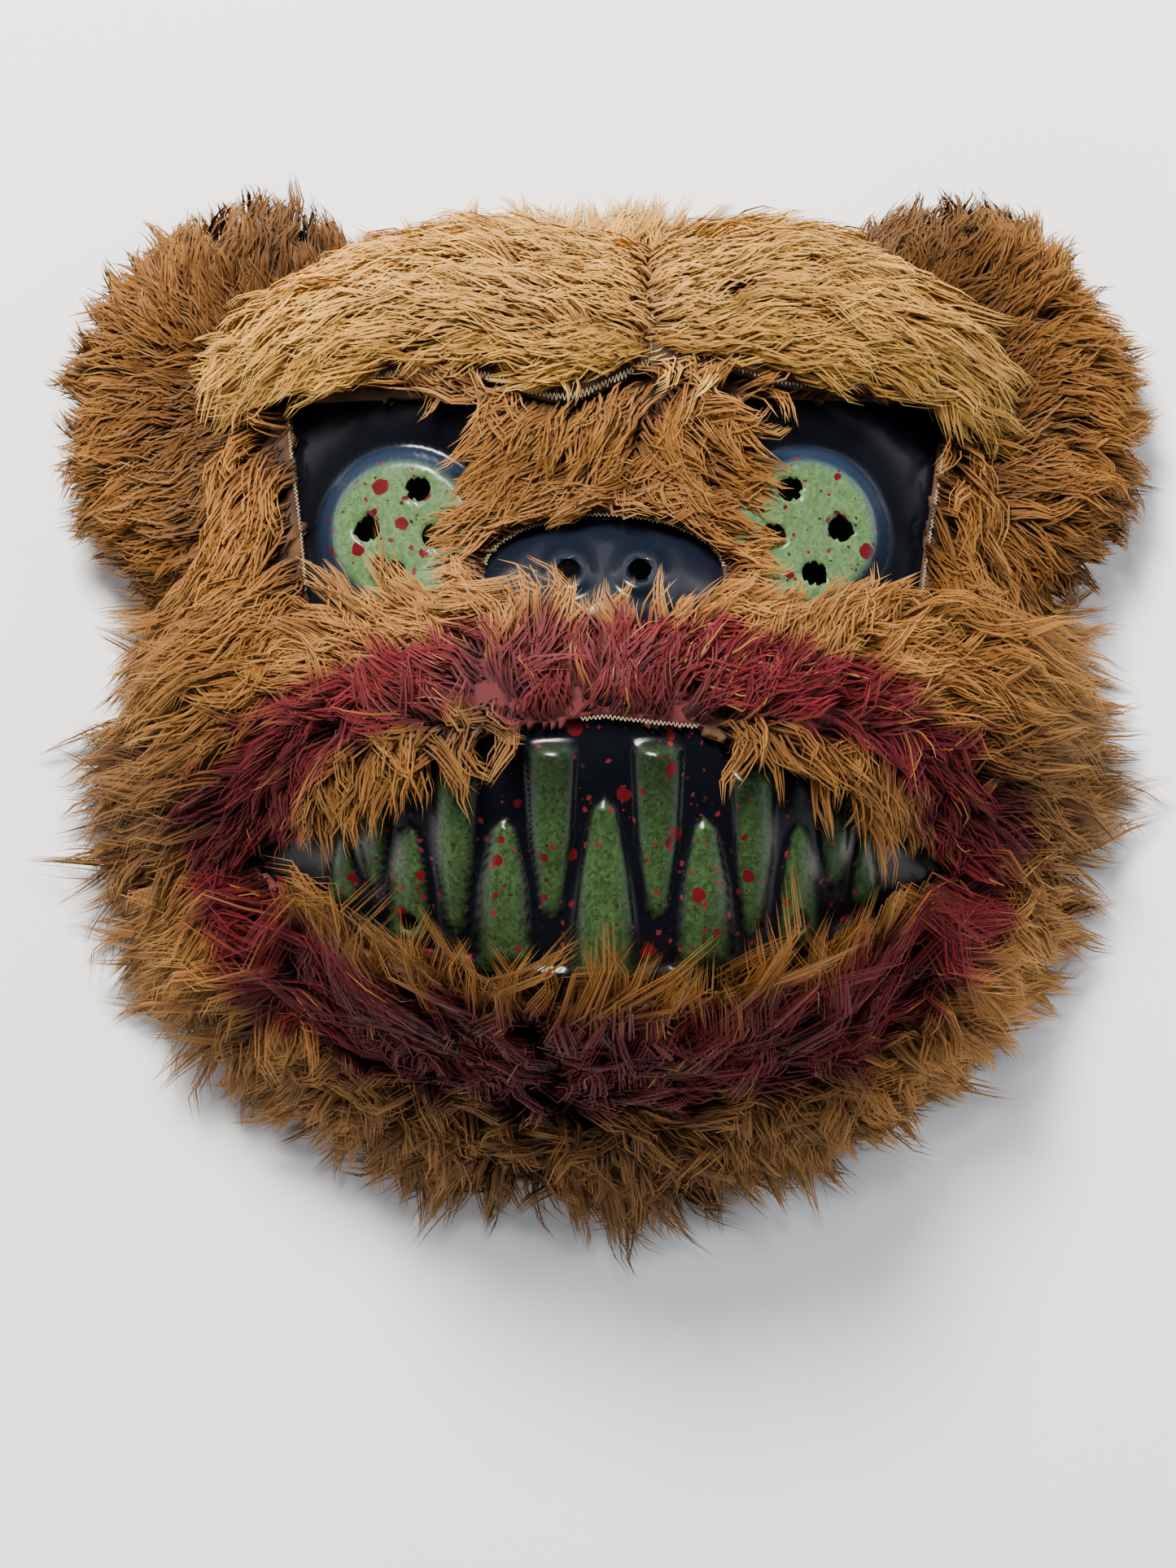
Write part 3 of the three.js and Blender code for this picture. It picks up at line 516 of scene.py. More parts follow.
def in_jaw(x, y):
    return y < seam_level("lower", x)


def in_crown(x, y):
    return y > BROW_SEAM_Y


def form_normal(x, y):
    step = 0.05
    slope_x = (form_height(x + step, y) - form_height(x - step, y)) / (2 * step)
    slope_y = (form_height(x, y + step) - form_height(x, y - step)) / (2 * step)
    normal = np.stack([-slope_x, -slope_y, np.ones_like(slope_x)], -1)
    return normal / np.linalg.norm(normal, axis=-1, keepdims=True)


def on_backing(x, y):
    return np.stack([x, y, form_height(x, y)], -1) + form_normal(x, y) * (SEAT_GAP + BACKING)


def snap_to_outlines(x, y):
    """Moves the points that lie within half a cell of an outline onto it."""
    reach = np.clip(math.pi * np.hypot(x, y) / HEAD_SPOKES, 0.8, 1.5)
    for which in ("upper", "lower"):
        level = lip_level(which, x)
        y = np.where((np.abs(y - level) < reach) & (np.abs(x) < MOUTH_WIDE), level, y)
    y = np.where(np.abs(y - BROW_SEAM_Y) < reach, BROW_SEAM_Y, y)
    for row in WINDOWS:
        inner, outer = window_edges(row, y)
        across = x * row["side"]
        beside = (y > WINDOW_FOOT - reach) & (y < WINDOW_TOP + reach)
        for edge in (inner, outer):
            across = np.where(beside & (np.abs(across - edge) < reach), edge, across)
        x = across * row["side"]
        between = (across > inner - reach) & (across < outer + reach)
        for edge in (WINDOW_TOP, WINDOW_FOOT):
            y = np.where(between & (np.abs(y - edge) < reach), edge, y)
    off = nose_share(x, y)
    near = np.abs(off - 1) * NOSE_HIGH < reach
    return np.where(near, x / off, x), np.where(near, NOSE_Y + (y - NOSE_Y) / off, y)


print("face panel covers the middle of the brow:", bool(in_face(np.array([0.0]), np.array([70.0]))[0]))

# %% The head's net, one for all three panels
share = 1 - np.linspace(0.985, 0, HEAD_RINGS) ** 1.25
head_x, head_y = snap_to_outlines(*np.moveaxis(share[:, None, None] * rim_places(HEAD_SPOKES), -1, 0))
head_surface = on_backing(head_x, head_y)
head_surface[..., 2] = np.maximum(head_surface[..., 2], HEM_LIFT)
print(f"head net: {HEAD_RINGS} rings of {HEAD_SPOKES}")

# %% [markdown]
# The backing of long pile plush is a loose knit of polyester yarn. Little of it shows under the
# pile, but it gives the dark depth between the locks, and it shows bare at the cut edges. Red paint
# has soaked into it round the mouth, in the same ragged ring as on the pile, so one function says
# where the ring lies.

# %% Where the red paint lies
def painted_share(x, y):
    """How much red paint lies on pile that has come to lie here."""
    outer = np.hypot(x / 120, (y - MOUTH_Y) / np.where(y > MOUTH_Y, 67, 74))
    inner = np.hypot(x / 86, (y - MOUTH_Y) / np.where(y > MOUTH_Y, 33 + 9 * fade(16, 36, np.abs(x)), 41))
    edge = 0.05 * ripple(x, y, 23, 1.0) + 0.04 * ripple(x, y, 9, 4.0)
    return fade(1.02, 0.93, outer + edge) * fade(0.96, 1.05, inner + edge)


print("paint over the lip:", painted_share(np.array([0.0, 60.0]), np.array([10.0, 0.0])).round(2))

# %% Material: knit backing
# A wave turns 20 radians over a length of 1 at scale 1. A radian is 1.6 mm here, so the bands are
# 10 mm apart, and they blend with a cloud of 9 mm. Single loops, about 1 mm wide, are too fine to
# show under the pile.
KNIT_WAVE, KNIT_CLOUD, WAVE_TURN = 1.6, 9, 20
SOAKED_RED = "#4a1418"


def knit_backing(name, under, yarn):
    """Matt knit, uneven in colour, and red where paint has soaked in."""
    material, tree, shader = new_material(name, {"Roughness": 0.95})
    place = add_node(tree, "ShaderNodeTexCoord").outputs["Object"]
    wave = {"Vector": place, "Scale": 1 / (KNIT_WAVE * MM) / WAVE_TURN, "Distortion": 2.5, "Detail Scale": 3}
    rows = add_node(tree, "ShaderNodeTexWave", wave, bands_direction="DIAGONAL")
    blotch = {"Vector": place, "Scale": 1 / (KNIT_CLOUD * MM), "Detail": 4}
    cloud = add_node(tree, "ShaderNodeTexNoise", blotch)
    pair = {0: rows.outputs["Fac"], 1: cloud.outputs["Fac"]}
    uneven = add_node(tree, "ShaderNodeMath", pair, operation="MULTIPLY").outputs[0]
    soaked = add_node(tree, "ShaderNodeAttribute", attribute_name="soaked").outputs["Fac"]
    base = colour(under)
    for share, code in ((uneven, yarn), (soaked, SOAKED_RED)):
        layers = {0: share, 6: base, 7: colour(code)}
        base = add_node(tree, "ShaderNodeMix", layers, data_type="RGBA").outputs[2]
    tree.links.new(base, shader.inputs["Base Color"])
    return material


BROWN_KNIT = knit_backing("Brown knit backing", "#2c1a0c", "#684321")
# The brows' backing is the same knit, painted lighter like their pile, as the lamp falls on it.
LIT_KNIT = knit_backing("Light knit backing", "#6b4a26", "#a87d48")
print("materials:", BROWN_KNIT.name, "and", LIT_KNIT.name)


# %% Cut and place the panels' backings
def finish_piece(piece, slot, *nodes):
    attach(piece, "root")
    if nodes:
        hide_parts(*nodes)
    return piece


plan_middles = cell_middles(np.stack([head_x, head_y], -1))
head_points = in_frame(*np.moveaxis(head_surface, -1, 0))
PANELS = {}
BACKINGS = {}
for name, node, test in (("face plush", "face_plush", in_face), ("jaw plush", "jaw_plush", in_jaw),
                         ("crown plush", "crown_plush", in_crown)):
    keep = test(plan_middles[..., 0], plan_middles[..., 1])
    mesh, _ = net_mesh(name + " backing", head_points, keep, closed_around=True)
    piece = thick_piece(name + " backing", mesh, BACKING, HEM_LIFT, BROWN_KNIT)
    spot = np.array([v.co / MM for v in piece.data.vertices])
    set_values(piece.data, "soaked", painted_share(spot[:, 0], spot[:, 1] - MIDDLE_Y))
    finish_piece(piece, "brown_plush", node)
    PANELS[node], BACKINGS[node] = keep, piece
    print(f"{name}: {len(piece.data.polygons)} faces")

# %% [markdown]
# A brow is a pad of the same plush, its pile and backing painted lighter where the lamp falls on them. Its
# solid is lofted from rings that stand across it, and the same rows give a finer net here. Each ring is
# crowned on top and lies flat underneath, along the form. Cloth simulation could swell a pad, but long pile
# covers all of this one.

# %% Brows
BROW_WIDE, BROW_SEAM_X, BROW_HIGH, BROW_THICK, PILE_DEPTH = 101, 12, 34, 11, 8
BROW_END = 0.94
BROW_ROWS = {
    "out": [0, 0.2, 0.42, 0.64, 0.84, BROW_END],
    "low_left": [0, -0.24, -0.06, -0.08, -0.13, -0.2],
    "low_right": [0, -0.02, -0.14, -0.14, -0.28, -0.5],
    "high": [0.9, 1, 0.98, 0.84, 0.52, 0.2],
    "rise": [0.7, 1, 1, 0.92, 0.75, 0.5],
}


def brow_row(name, out):
    line = smooth_curve(np.stack([BROW_ROWS["out"], BROW_ROWS[name]], -1), False, 8)
    return np.interp(out, line[:, 0], line[:, 1])


def brow_net(side, columns=46, around=26):
    """Rings of points from the seam outwards, closed round the pad, in the face's millimetres."""
    low_name = "low_left" if side < 0 else "low_right"
    reach = BROW_WIDE - side * BROW_SEAM_X
    rings = []
    for out in np.concatenate([np.linspace(0, BROW_END, columns - 3), [0.965, 0.985, 0.99]]):
        inner = min(out, BROW_END)
        shrink = math.sqrt(max(1 - ((out - BROW_END) / 0.05) ** 2, 0.0)) if out > BROW_END else 1.0
        low, high, rise = (float(brow_row(name, inner)) for name in (low_name, "high", "rise"))
        x = BROW_SEAM_X + side * (0.3 + out * reach)
        y = BROW_SEAM_Y + (low + high) / 2 * BROW_HIGH
        half = (high - low) / 2 * BROW_HIGH * shrink
        normal = form_normal(np.array([x]), np.array([y]))[0]
        angle = np.linspace(0, 2 * math.pi, around, endpoint=False)
        up, along = np.sin(angle), np.cos(angle) * half
        places = np.full(around, x), y + along * (1 - 0.1 * np.abs(up))
        crown = up * (BROW_THICK * rise * max(shrink, 0.15))
        height = np.where(up > 0, crown + PILE_DEPTH * 0.62, PILE_DEPTH * 0.45)
        ring = np.stack([*places, form_height(*places)], -1) + normal * height[:, None]
        rings.append(ring)
    net = np.array(rings)
    net[..., 2] = np.maximum(net[..., 2], HEM_LIFT + 1)
    return net


def closed_pad(name, net, material):
    """A closed pad over rings of points, with a fan at each end."""
    rows, around = net.shape[:2]
    points = np.concatenate([net.reshape(-1, 3), net[0].mean(0)[None], net[-1].mean(0)[None]])
    number = np.arange(rows * around).reshape(rows, around)
    turned = np.roll(number, -1, 1)
    faces = np.stack([number[:-1], turned[:-1], turned[1:], number[1:]], -1).reshape(-1, 4).tolist()
    faces += [[rows * around, b, a] for a, b in zip(number[0], turned[0])]
    faces += [[rows * around + 1, a, b] for a, b in zip(number[-1], turned[-1])]
    mesh = bpy.data.meshes.new(name)
    mesh.from_pydata((in_frame(*points.T) * MM).tolist(), [], faces)
    smooth_faces(mesh)
    return add_object(name, mesh, material)


BROWS = {}
for side, word in ((-1, "left"), (1, "right")):
    net = brow_net(side)
    pad = closed_pad(f"{word} brow pad", net, LIT_KNIT)
    finish_piece(pad, "light_plush", f"brow_{word}")
    BROWS[side] = net
    print(f"{word} brow: {len(pad.data.polygons)} faces")

# %% [markdown]
# An ear is a flat round pad, pressed in at its front and rolled over at its edge. It grows out from
# under the head's plush, so the part of it that would lie inside the head is left out.

# %% Ears
EAR_X, EAR_Y, EAR_WIDE, EAR_HIGH, EAR_THICK, EAR_CUP, EAR_RAKE, EAR_LIFT = 99, 81, 41, 50, 22, 7, 14, 1.5
EAR_TILT = math.radians(14)


def ear_net(side, rings=18, around=72):
    """Front from the middle to the edge, then the back from the edge to the middle."""
    edge = [0.95, 0.985, 1, 0.985, 0.95]
    out = np.concatenate([np.linspace(0.02, 0.9, rings), edge, np.linspace(0.9, 0.02, 8)])
    sign = np.concatenate([np.ones(rings + 2), [0], -np.ones(10)])
    angle = np.linspace(0, 2 * math.pi, around, endpoint=False)
    ring, turn = out[:, None], angle[None, :]
    flat_x, flat_y = np.cos(turn) * EAR_WIDE * ring, np.sin(turn) * EAR_HIGH * ring
    tilt = EAR_TILT * side
    x = side * EAR_X + flat_x * math.cos(tilt) - flat_y * math.sin(tilt)
    y = EAR_Y + flat_x * math.sin(tilt) + flat_y * math.cos(tilt)
    round_off = np.sqrt(np.clip(1 - ring ** 4, 0, 1))
    cup = np.where(sign[:, None] > 0, EAR_CUP * np.clip(1 - (ring / 0.85) ** 2, 0, 1), 0)
    rake = EAR_RAKE * 0.5 * (1 - side * np.cos(turn) * ring)
    z = EAR_LIFT + EAR_THICK / 2 + rake + sign[:, None] * EAR_THICK / 2 * round_off - cup
    return np.stack([x, y, z + 0 * x], -1)


EARS = {}
for side, word in ((-1, "left"), (1, "right")):
    net = ear_net(side)
    centre = cell_middles(net)
    outside = (centre[..., 2] > form_height(centre[..., 0], centre[..., 1]) + SEAT_GAP) | (
        ring_of(centre[..., 0], centre[..., 1]) > 1.012)
    mesh, _ = net_mesh(f"{word} ear pad", in_frame(*np.moveaxis(net, -1, 0)), outside, closed_around=True)
    smooth_faces(mesh)
    pad = add_object(f"{word} ear pad", mesh, BROWN_KNIT)
    finish_piece(pad, "brown_plush", f"ear_{word}")
    EARS[side] = (net, outside)
    print(f"{word} ear: {len(mesh.polygons)} faces")

# %% [markdown]
# Long pile is thousands of fibres that cling together in locks. Blender's hair would need its own
# render objects and isn't kept by an export, so each fibre bundle is a thin ribbon of a few faces,
# and all the ribbons of a piece are one mesh made from arrays. A lock is steered by one guide: it
# leaves the backing, bends over and follows the nap. Its ribbons start round the guide's root and
# close in on it towards the tip, which draws the pointed tufts.

# %% The nap: which way the pile lies, and how long it is
# Each row is a place's x and y, the way in x and y that its pile lies, and its length.
HEAD_NAP = [
    (0, 76, -0.4, -1, 16), (-22, 64, -0.7, -0.8, 20), (24, 64, 0.7, -0.5, 18), (0, 60, -0.6, -0.7, 16),
    (-12, 51, -1, -0.1, 13), (12, 51, 1, 0.1, 13), (-34, 46, -1, -0.5, 19), (34, 46, 1, -0.25, 17),
    (-46, 20, -0.7, 0.6, 22), (46, 20, 0.8, 0.6, 20), (-66, 20, -0.7, 0.5, 22), (66, 20, 0.6, 0.7, 21),
    (-38, 30, -1, 0.1, 17), (38, 30, 1, 0.1, 16), (0, 15, 0.05, 1, 22), (-20, 15, 0.2, 1, 28),
    (22, 15, 0.5, 0.8, 20), (0, 3, 0.15, 1, 15), (-42, 2, -0.7, 0.6, 19), (44, 2, 0.7, 0.6, 19),
    (-34, -14, 0.3, -1, 22), (42, -16, 0.3, -1, 23), (0, -8, 0.2, 0.9, 13), (18, -6, 0.4, 0.8, 14),
    (-46, -18, 0.1, -1, 22), (-64, -24, -0.2, -1, 22), (64, -24, 0.3, -1, 22), (-84, -32, -0.3, -1, 10),
    (84, -32, 0.3, -1, 10), (-72, 8, -1, 0.1, 24), (74, 8, 1, 0.3, 24), (-98, 14, -0.95, -0.3, 33),
    (100, 14, 1, 0, 33), (-94, 55, -0.3, -1, 23), (99, 52, 0.1, -1, 23), (-100, 38, -0.6, -0.8, 24),
    (104, 38, 0.5, -0.8, 24), (0, -86, 0.15, 1, 50), (-40, -82, -0.1, 1, 53), (40, -82, 0.25, 1, 53),
    (-72, -66, 0.05, 1, 48), (74, -66, 0.3, 1, 48), (0, -121, 0.2, -1, 30), (-42, -116, -0.3, -1, 27),
    (44, -114, 0.4, -1, 24), (-82, -96, -0.7, -0.8, 22), (82, -96, 0.8, -0.7, 20),
    (0, -102, 0.5, 0.8, 20), (-32, -100, -0.3, 1, 21), (-64, -84, -0.4, 1, 22), (66, -84, 0.5, 1, 22),
    (34, -100, 0.4, 1, 21), (-96, -60, -1, -0.6, 32), (98, -60, 1, -0.5, 25), (-110, -20, -1, -0.3, 37),
    (112, -20, 1, 0, 33), (0, 105, 0.3, 1, 19), (-55, 105, -0.7, 0.8, 18), (55, 105, 0.7, 0.8, 18),
    (-90, 95, -1, 0.3, 15), (90, 95, 1, 0.3, 15),
]
BROW_NAP = [
    (10, 104, -1, 0.15, 14), (-14, 84, -1, 0.1, 15), (-30, 112, -1, 0.3, 22), (-45, 90, -1, -0.05, 21),
    (-65, 100, -1, -0.3, 24), (-85, 92, -0.9, -0.4, 25), (-98, 82, -0.8, -0.6, 22),
    (15, 104, 1, 0.15, 14), (40, 112, 1, 0.3, 22), (40, 88, 1, 0, 20), (65, 100, 1, -0.15, 24),
    (88, 92, 0.95, -0.3, 24), (100, 78, 0.8, -0.6, 20),
]
NAP_BLEND = 30


def nap_at(rows, x, y):
    """The nap's direction in the plan and the pile's length, blended from the nearest rows of a table."""
    where, value = np.split(np.array(rows, float), [2], 1)
    weight = 1 / (((np.stack([x, y], -1)[:, None] - where[None]) ** 2).sum(-1) + NAP_BLEND) ** 2
    blended = (weight[..., None] * value[None]).sum(1) / weight.sum(1, keepdims=True)
    firm = np.linalg.norm(blended[:, :2], axis=1)
    return blended[:, :2] / np.maximum(firm[:, None], 0.15), blended[:, 2], np.minimum(firm, 1)


def head_nap(points):
    return nap_at(HEAD_NAP, points[:, 0], points[:, 1])


def brow_nap(side):
    rows = [row for row in BROW_NAP if row[2] * side > 0]
    return lambda points: nap_at(rows, points[:, 0], points[:, 1])


def ear_nap(side):
    def nap(points):
        """Out from a whorl below the ear's middle, with a slow swirl."""
        x = points[:, 0] - side * (EAR_X - 20)
        y = points[:, 1] - (EAR_Y - 4)
        swirl = 0.5 * ripple(points[:, 0], points[:, 1], 70, 3.0 + side)
        lean = np.stack([x - swirl * y, y + swirl * x], -1)
        lean /= np.maximum(np.linalg.norm(lean, axis=1, keepdims=True), 4)
        off = np.hypot((points[:, 0] - side * EAR_X) / EAR_WIDE, (points[:, 1] - EAR_Y) / EAR_HIGH)
        return lean, 19 - 4 * fade(0.6, 1, off), np.ones(len(lean))
    return nap


lean, long, firm = head_nap(np.array([[0.0, -121.0]]))
print(f"nap at the chin: {lean[0].round(2)}, {long[0]:.0f} mm long")

# %% Guides: one for each lock
STEPS = 4
PILE_WIDE, PILE_LOW = 161, 158
PILE_RISE = np.radians([46, 16, 0, -8])
LEAST_HEIGHT = [1.6, 3.0, 3.0, 2.0]
DROOP = [0.0, 0.1, 0.2, 0.32]
LONGER_SHARE, STRAY = 0.1, 0.22


def unit(vectors):
    return vectors / np.maximum(np.linalg.norm(vectors, axis=-1, keepdims=True), 1e-9)


def faced_cells(net, upward):
    """The net's cells as corners, with their normals turned so that the upward cell looks up."""
    net = wrapped(net)
    corners = np.stack([net[:-1, :-1], net[:-1, 1:], net[1:, 1:], net[1:, :-1]], 2)
    normal = np.cross(corners[:, :, 2] - corners[:, :, 0], corners[:, :, 3] - corners[:, :, 1])
    if normal[upward][2] < 0:
        corners = corners[:, :, ::-1]
        normal = -normal
    return corners, normal


def scatter_roots(corners, normal, keep, count):
    """Random roots on the kept cells, as many on each square millimetre."""
    corners, normal = corners[keep], normal[keep]
    area = np.linalg.norm(normal, axis=1)
    cell = CHANCE.choice(len(area), count, p=area / area.sum())
    u, v = CHANCE.random((2, count, 1))
    a, b, c, d = (corners[cell, k] for k in range(4))
    return a * (1 - u) * (1 - v) + b * u * (1 - v) + c * u * v + d * (1 - u) * v, unit(normal[cell])


def turned(plan, angle):
    """Directions in the plan, each turned by its own angle."""
    c, k = np.cos(angle)[:, None], np.sin(angle)[:, None]
    return np.column_stack([plan[:, :1] * c - plan[:, 1:] * k, plan[:, :1] * k + plan[:, 1:] * c])


def grow_guides(roots, normals, nap, curl, surface):
    """Bends each guide over into the nap, in waves, and keeps it out of the surface. At a parting, where the
    nap isn't firm, the locks stray in all directions and cover it."""
    here, normal = roots.copy(), normals.copy()
    count = len(roots)
    _, long, firm = nap(roots)
    long = long * CHANCE.uniform(0.75, 1.15, count)
    long = long * np.where(CHANCE.random(count) < LONGER_SHARE, 1.0 + 0.22 * curl, 1)
    phase, rolling = CHANCE.uniform(0, 2 * math.pi, (2, count))
    wave = curl * CHANCE.uniform(0.2, 1.0, count)
    stray = CHANCE.normal(0, STRAY, count) * (1 + 5 * (1 - firm))
    points = [roots]
    for k in range(STEPS):
        lean, _, firm = nap(here)
        lean = turned(lean, stray)
        plan = np.column_stack([lean, np.zeros(count)])
        away = (plan * normal).sum(1, keepdims=True)
        lie = unit(plan - normal * away * np.where(away < 0, 1.0, 0.55))
        across = np.cross(normal, lie)
        rise = (PILE_RISE[k] + (1 - firm) * 0.3 + 0.35 * wave * np.sin(rolling + 1.5 * k))[:, None]
        step = lie * np.cos(rise) + normal * np.sin(rise)
        step = step + across * (wave * np.sin(phase + 1.6 * k))[:, None]
        step[:, 2] -= DROOP[k] * (lie[:, 2] < 0.1)
        here = here + unit(step) * (long / STEPS)[:, None]
        for i, place in enumerate(here):
            near, facing, _, _ = surface.find_nearest(Vector(place))
            height = (Vector(place) - near).dot(facing)
            if height < LEAST_HEIGHT[k]:
                here[i] = np.array(near) + np.array(facing) * LEAST_HEIGHT[k]
            normal[i] = facing
        here[:, 2] = np.maximum(here[:, 2], HEM_LIFT + 0.4)
        here[:, 0] = np.clip(here[:, 0], -PILE_WIDE, PILE_WIDE)
        here[:, 1] = np.maximum(here[:, 1], -PILE_LOW)
        points.append(here.copy())
    return np.stack(points, 1)


print("a guide bends through", np.degrees(PILE_RISE).round().tolist(), "degrees")

# %% [markdown]
# The pile is crimped polyester, matt and without bloom from the side, with a soft shine along it.
# The pile's colour changes along a fibre: dark where light doesn't reach, gold along its length and
# pale at the tip. Each lock is a little lighter or darker than its neighbour. Red fabric paint was
# brushed round the mouth after the mask was sewn, so it takes the outer pile and leaves some tips
# bare. All of this is a colour for each vertex.

# %% Colours of the pile
GOLD = ["#2c1808", "#6e4418", "#94622a", "#b58444"]
# LIT_GOLD is the same plush as GOLD, painted paler for the brows and the crown, on which the lamp falls.
LIT_GOLD = ["#4a3014", "#9a6b32", "#b98939", "#cda35e"]
# SHADED_GOLD is the same plush painted darker for the ears, which lie in shade behind the face.
SHADED_GOLD = ["#2a1708", "#683f15", "#8a5a24", "#a97a3e"]
RED = ["#2b070a", "#4e0c12", "#641019", "#781b25"]


def painted_shade(x, y):
    """Painted shade and light, by height on the face: darkest low on the jaw, darker beside the mouth's
    corners, under the brows and over the teeth, lighter on one side.
    """
    facing_up = np.interp(y, [-125, -112, -80, -20, 40, 110], [0.52, 0.7, 1.0, 0.72, 0.88, 0.86])
    beside_mouth = np.exp(-((np.abs(x) - 98) / 22) ** 2 - ((y + 22) / 24) ** 2)
    under_brow = np.exp(-(x / 38) ** 2 - ((y - 64) / 17) ** 2)
    over_teeth = np.exp(-(x / 80) ** 4 - ((y + 16) / 13) ** 2)
    sideways = 1 + 0.0013 * x * np.interp(y, [0, 60], [1, -1])
    return facing_up * sideways * (1 - 0.5 * beside_mouth) * (1 - 0.25 * under_brow) * (1 - 0.4 * over_teeth)


def pile_colours(codes, along, tone, painted):
    """A linear colour for each row of each ribbon."""
    stops = np.array([colour(code)[:3] for code in codes])
    reds = np.array([colour(code)[:3] for code in RED])
    ramp = np.linspace(0, 1, len(codes))
    gold = np.stack([np.interp(along, ramp, stops[:, k]) for k in range(3)], -1)
    red = np.stack([np.interp(along, ramp, reds[:, k]) for k in range(3)], -1)
    share = painted[..., None]
    mixed = gold[None] * (1 - share) + red[None] * share
    return np.clip(mixed * tone[:, None, None], 0, 1)


print("tip of the gold pile:", GOLD[-1])


# %% Material: polyester pile
def pile_material():
    """Polyester fibre: matt from the side, with a soft shine along it."""
    material, tree, shader = new_material("Polyester pile", {
        "Roughness": 0.62, "Specular IOR Level": 0.16, "Sheen Weight": 0.03, "Sheen Roughness": 0.5})
    tree.links.new(add_node(tree, "ShaderNodeAttribute", attribute_name="pile").outputs["Color"],
                   shader.inputs["Base Color"])
    return material


PILE = pile_material()
print("material:", PILE.name)

# %% A mesh of ribbons
ROW_WIDTH = np.array([1, 1, 0.85, 0.55])


def ribbon_mesh(name, points, side, facing, width, colours):
    """One mesh of tapering ribbons. points, side, facing and colours are (ribbons, rows, 3)."""
    count, rows = points.shape[:2]
    half = side[:, :-1] * (ROW_WIDTH[None, :, None] * width[:, None, None])

    def paired(values, spread=0.0):
        """Two vertices for each row of a ribbon, and one for its tip."""
        both = np.empty((count, 2 * rows - 1, values.shape[-1]))
        both[:, 0:-1:2], both[:, 1:-1:2] = values[:, :-1] - spread, values[:, :-1] + spread
        both[:, -1] = values[:, -1]
        return both

    places = paired(points, half)
    tint = np.ones((count, 2 * rows - 1, 4))
    tint[..., :3] = paired(colours)
    pattern = [corner for k in range(rows - 2) for corner in (2 * k, 2 * k + 1, 2 * k + 3, 2 * k + 2)]
    pattern += [2 * rows - 4, 2 * rows - 3, 2 * rows - 2]
    sizes = [4] * (rows - 2) + [3]
    corners = (np.arange(count)[:, None] * (2 * rows - 1) + np.array(pattern)[None]).ravel()
    starts = (np.arange(count)[:, None] * len(pattern) + (np.cumsum(sizes) - sizes)[None]).ravel()
    mesh = bpy.data.meshes.new(name)
    mesh.vertices.add(places.shape[0] * places.shape[1])
    mesh.vertices.foreach_set("co", (in_frame(*places.reshape(-1, 3).T) * MM).ravel())
    mesh.loops.add(len(corners))
    mesh.loops.foreach_set("vertex_index", corners)
    mesh.polygons.add(len(starts))
    mesh.polygons.foreach_set("loop_start", starts)
    mesh.update(calc_edges=True)
    smooth_faces(mesh)
    set_values(mesh, "pile", tint.reshape(-1, 4))
    cells = math.ceil(math.sqrt(count))
    row_of = np.append(np.repeat(np.arange(rows - 1), 2), rows - 1) / (rows - 1)
    edge_of = np.append(np.tile([0.2, 0.8], rows - 1), 0.5)
    cell = np.arange(count)[:, None]
    u = (cell % cells + edge_of[None]) / cells
    v = (cell // cells + 0.1 + 0.8 * row_of[None]) / cells
    flat = np.stack([u, v], -1).reshape(-1, 2)[corners]
    mesh.uv_layers.new(name="OFBake").data.foreach_set("uv", flat.ravel())
    mesh.normals_split_custom_set_from_vertices(paired(facing).reshape(-1, 3).tolist())
    return mesh


print("a ribbon narrows by", ROW_WIDTH.tolist())

# %% Ribbons round each guide
LOCK, SPREAD = 18, 4.2
LOOSE_SHARE, UNPAINTED_SHARE = 0.15, 0.05
RIBBON_HALF = (0.22, 0.38)


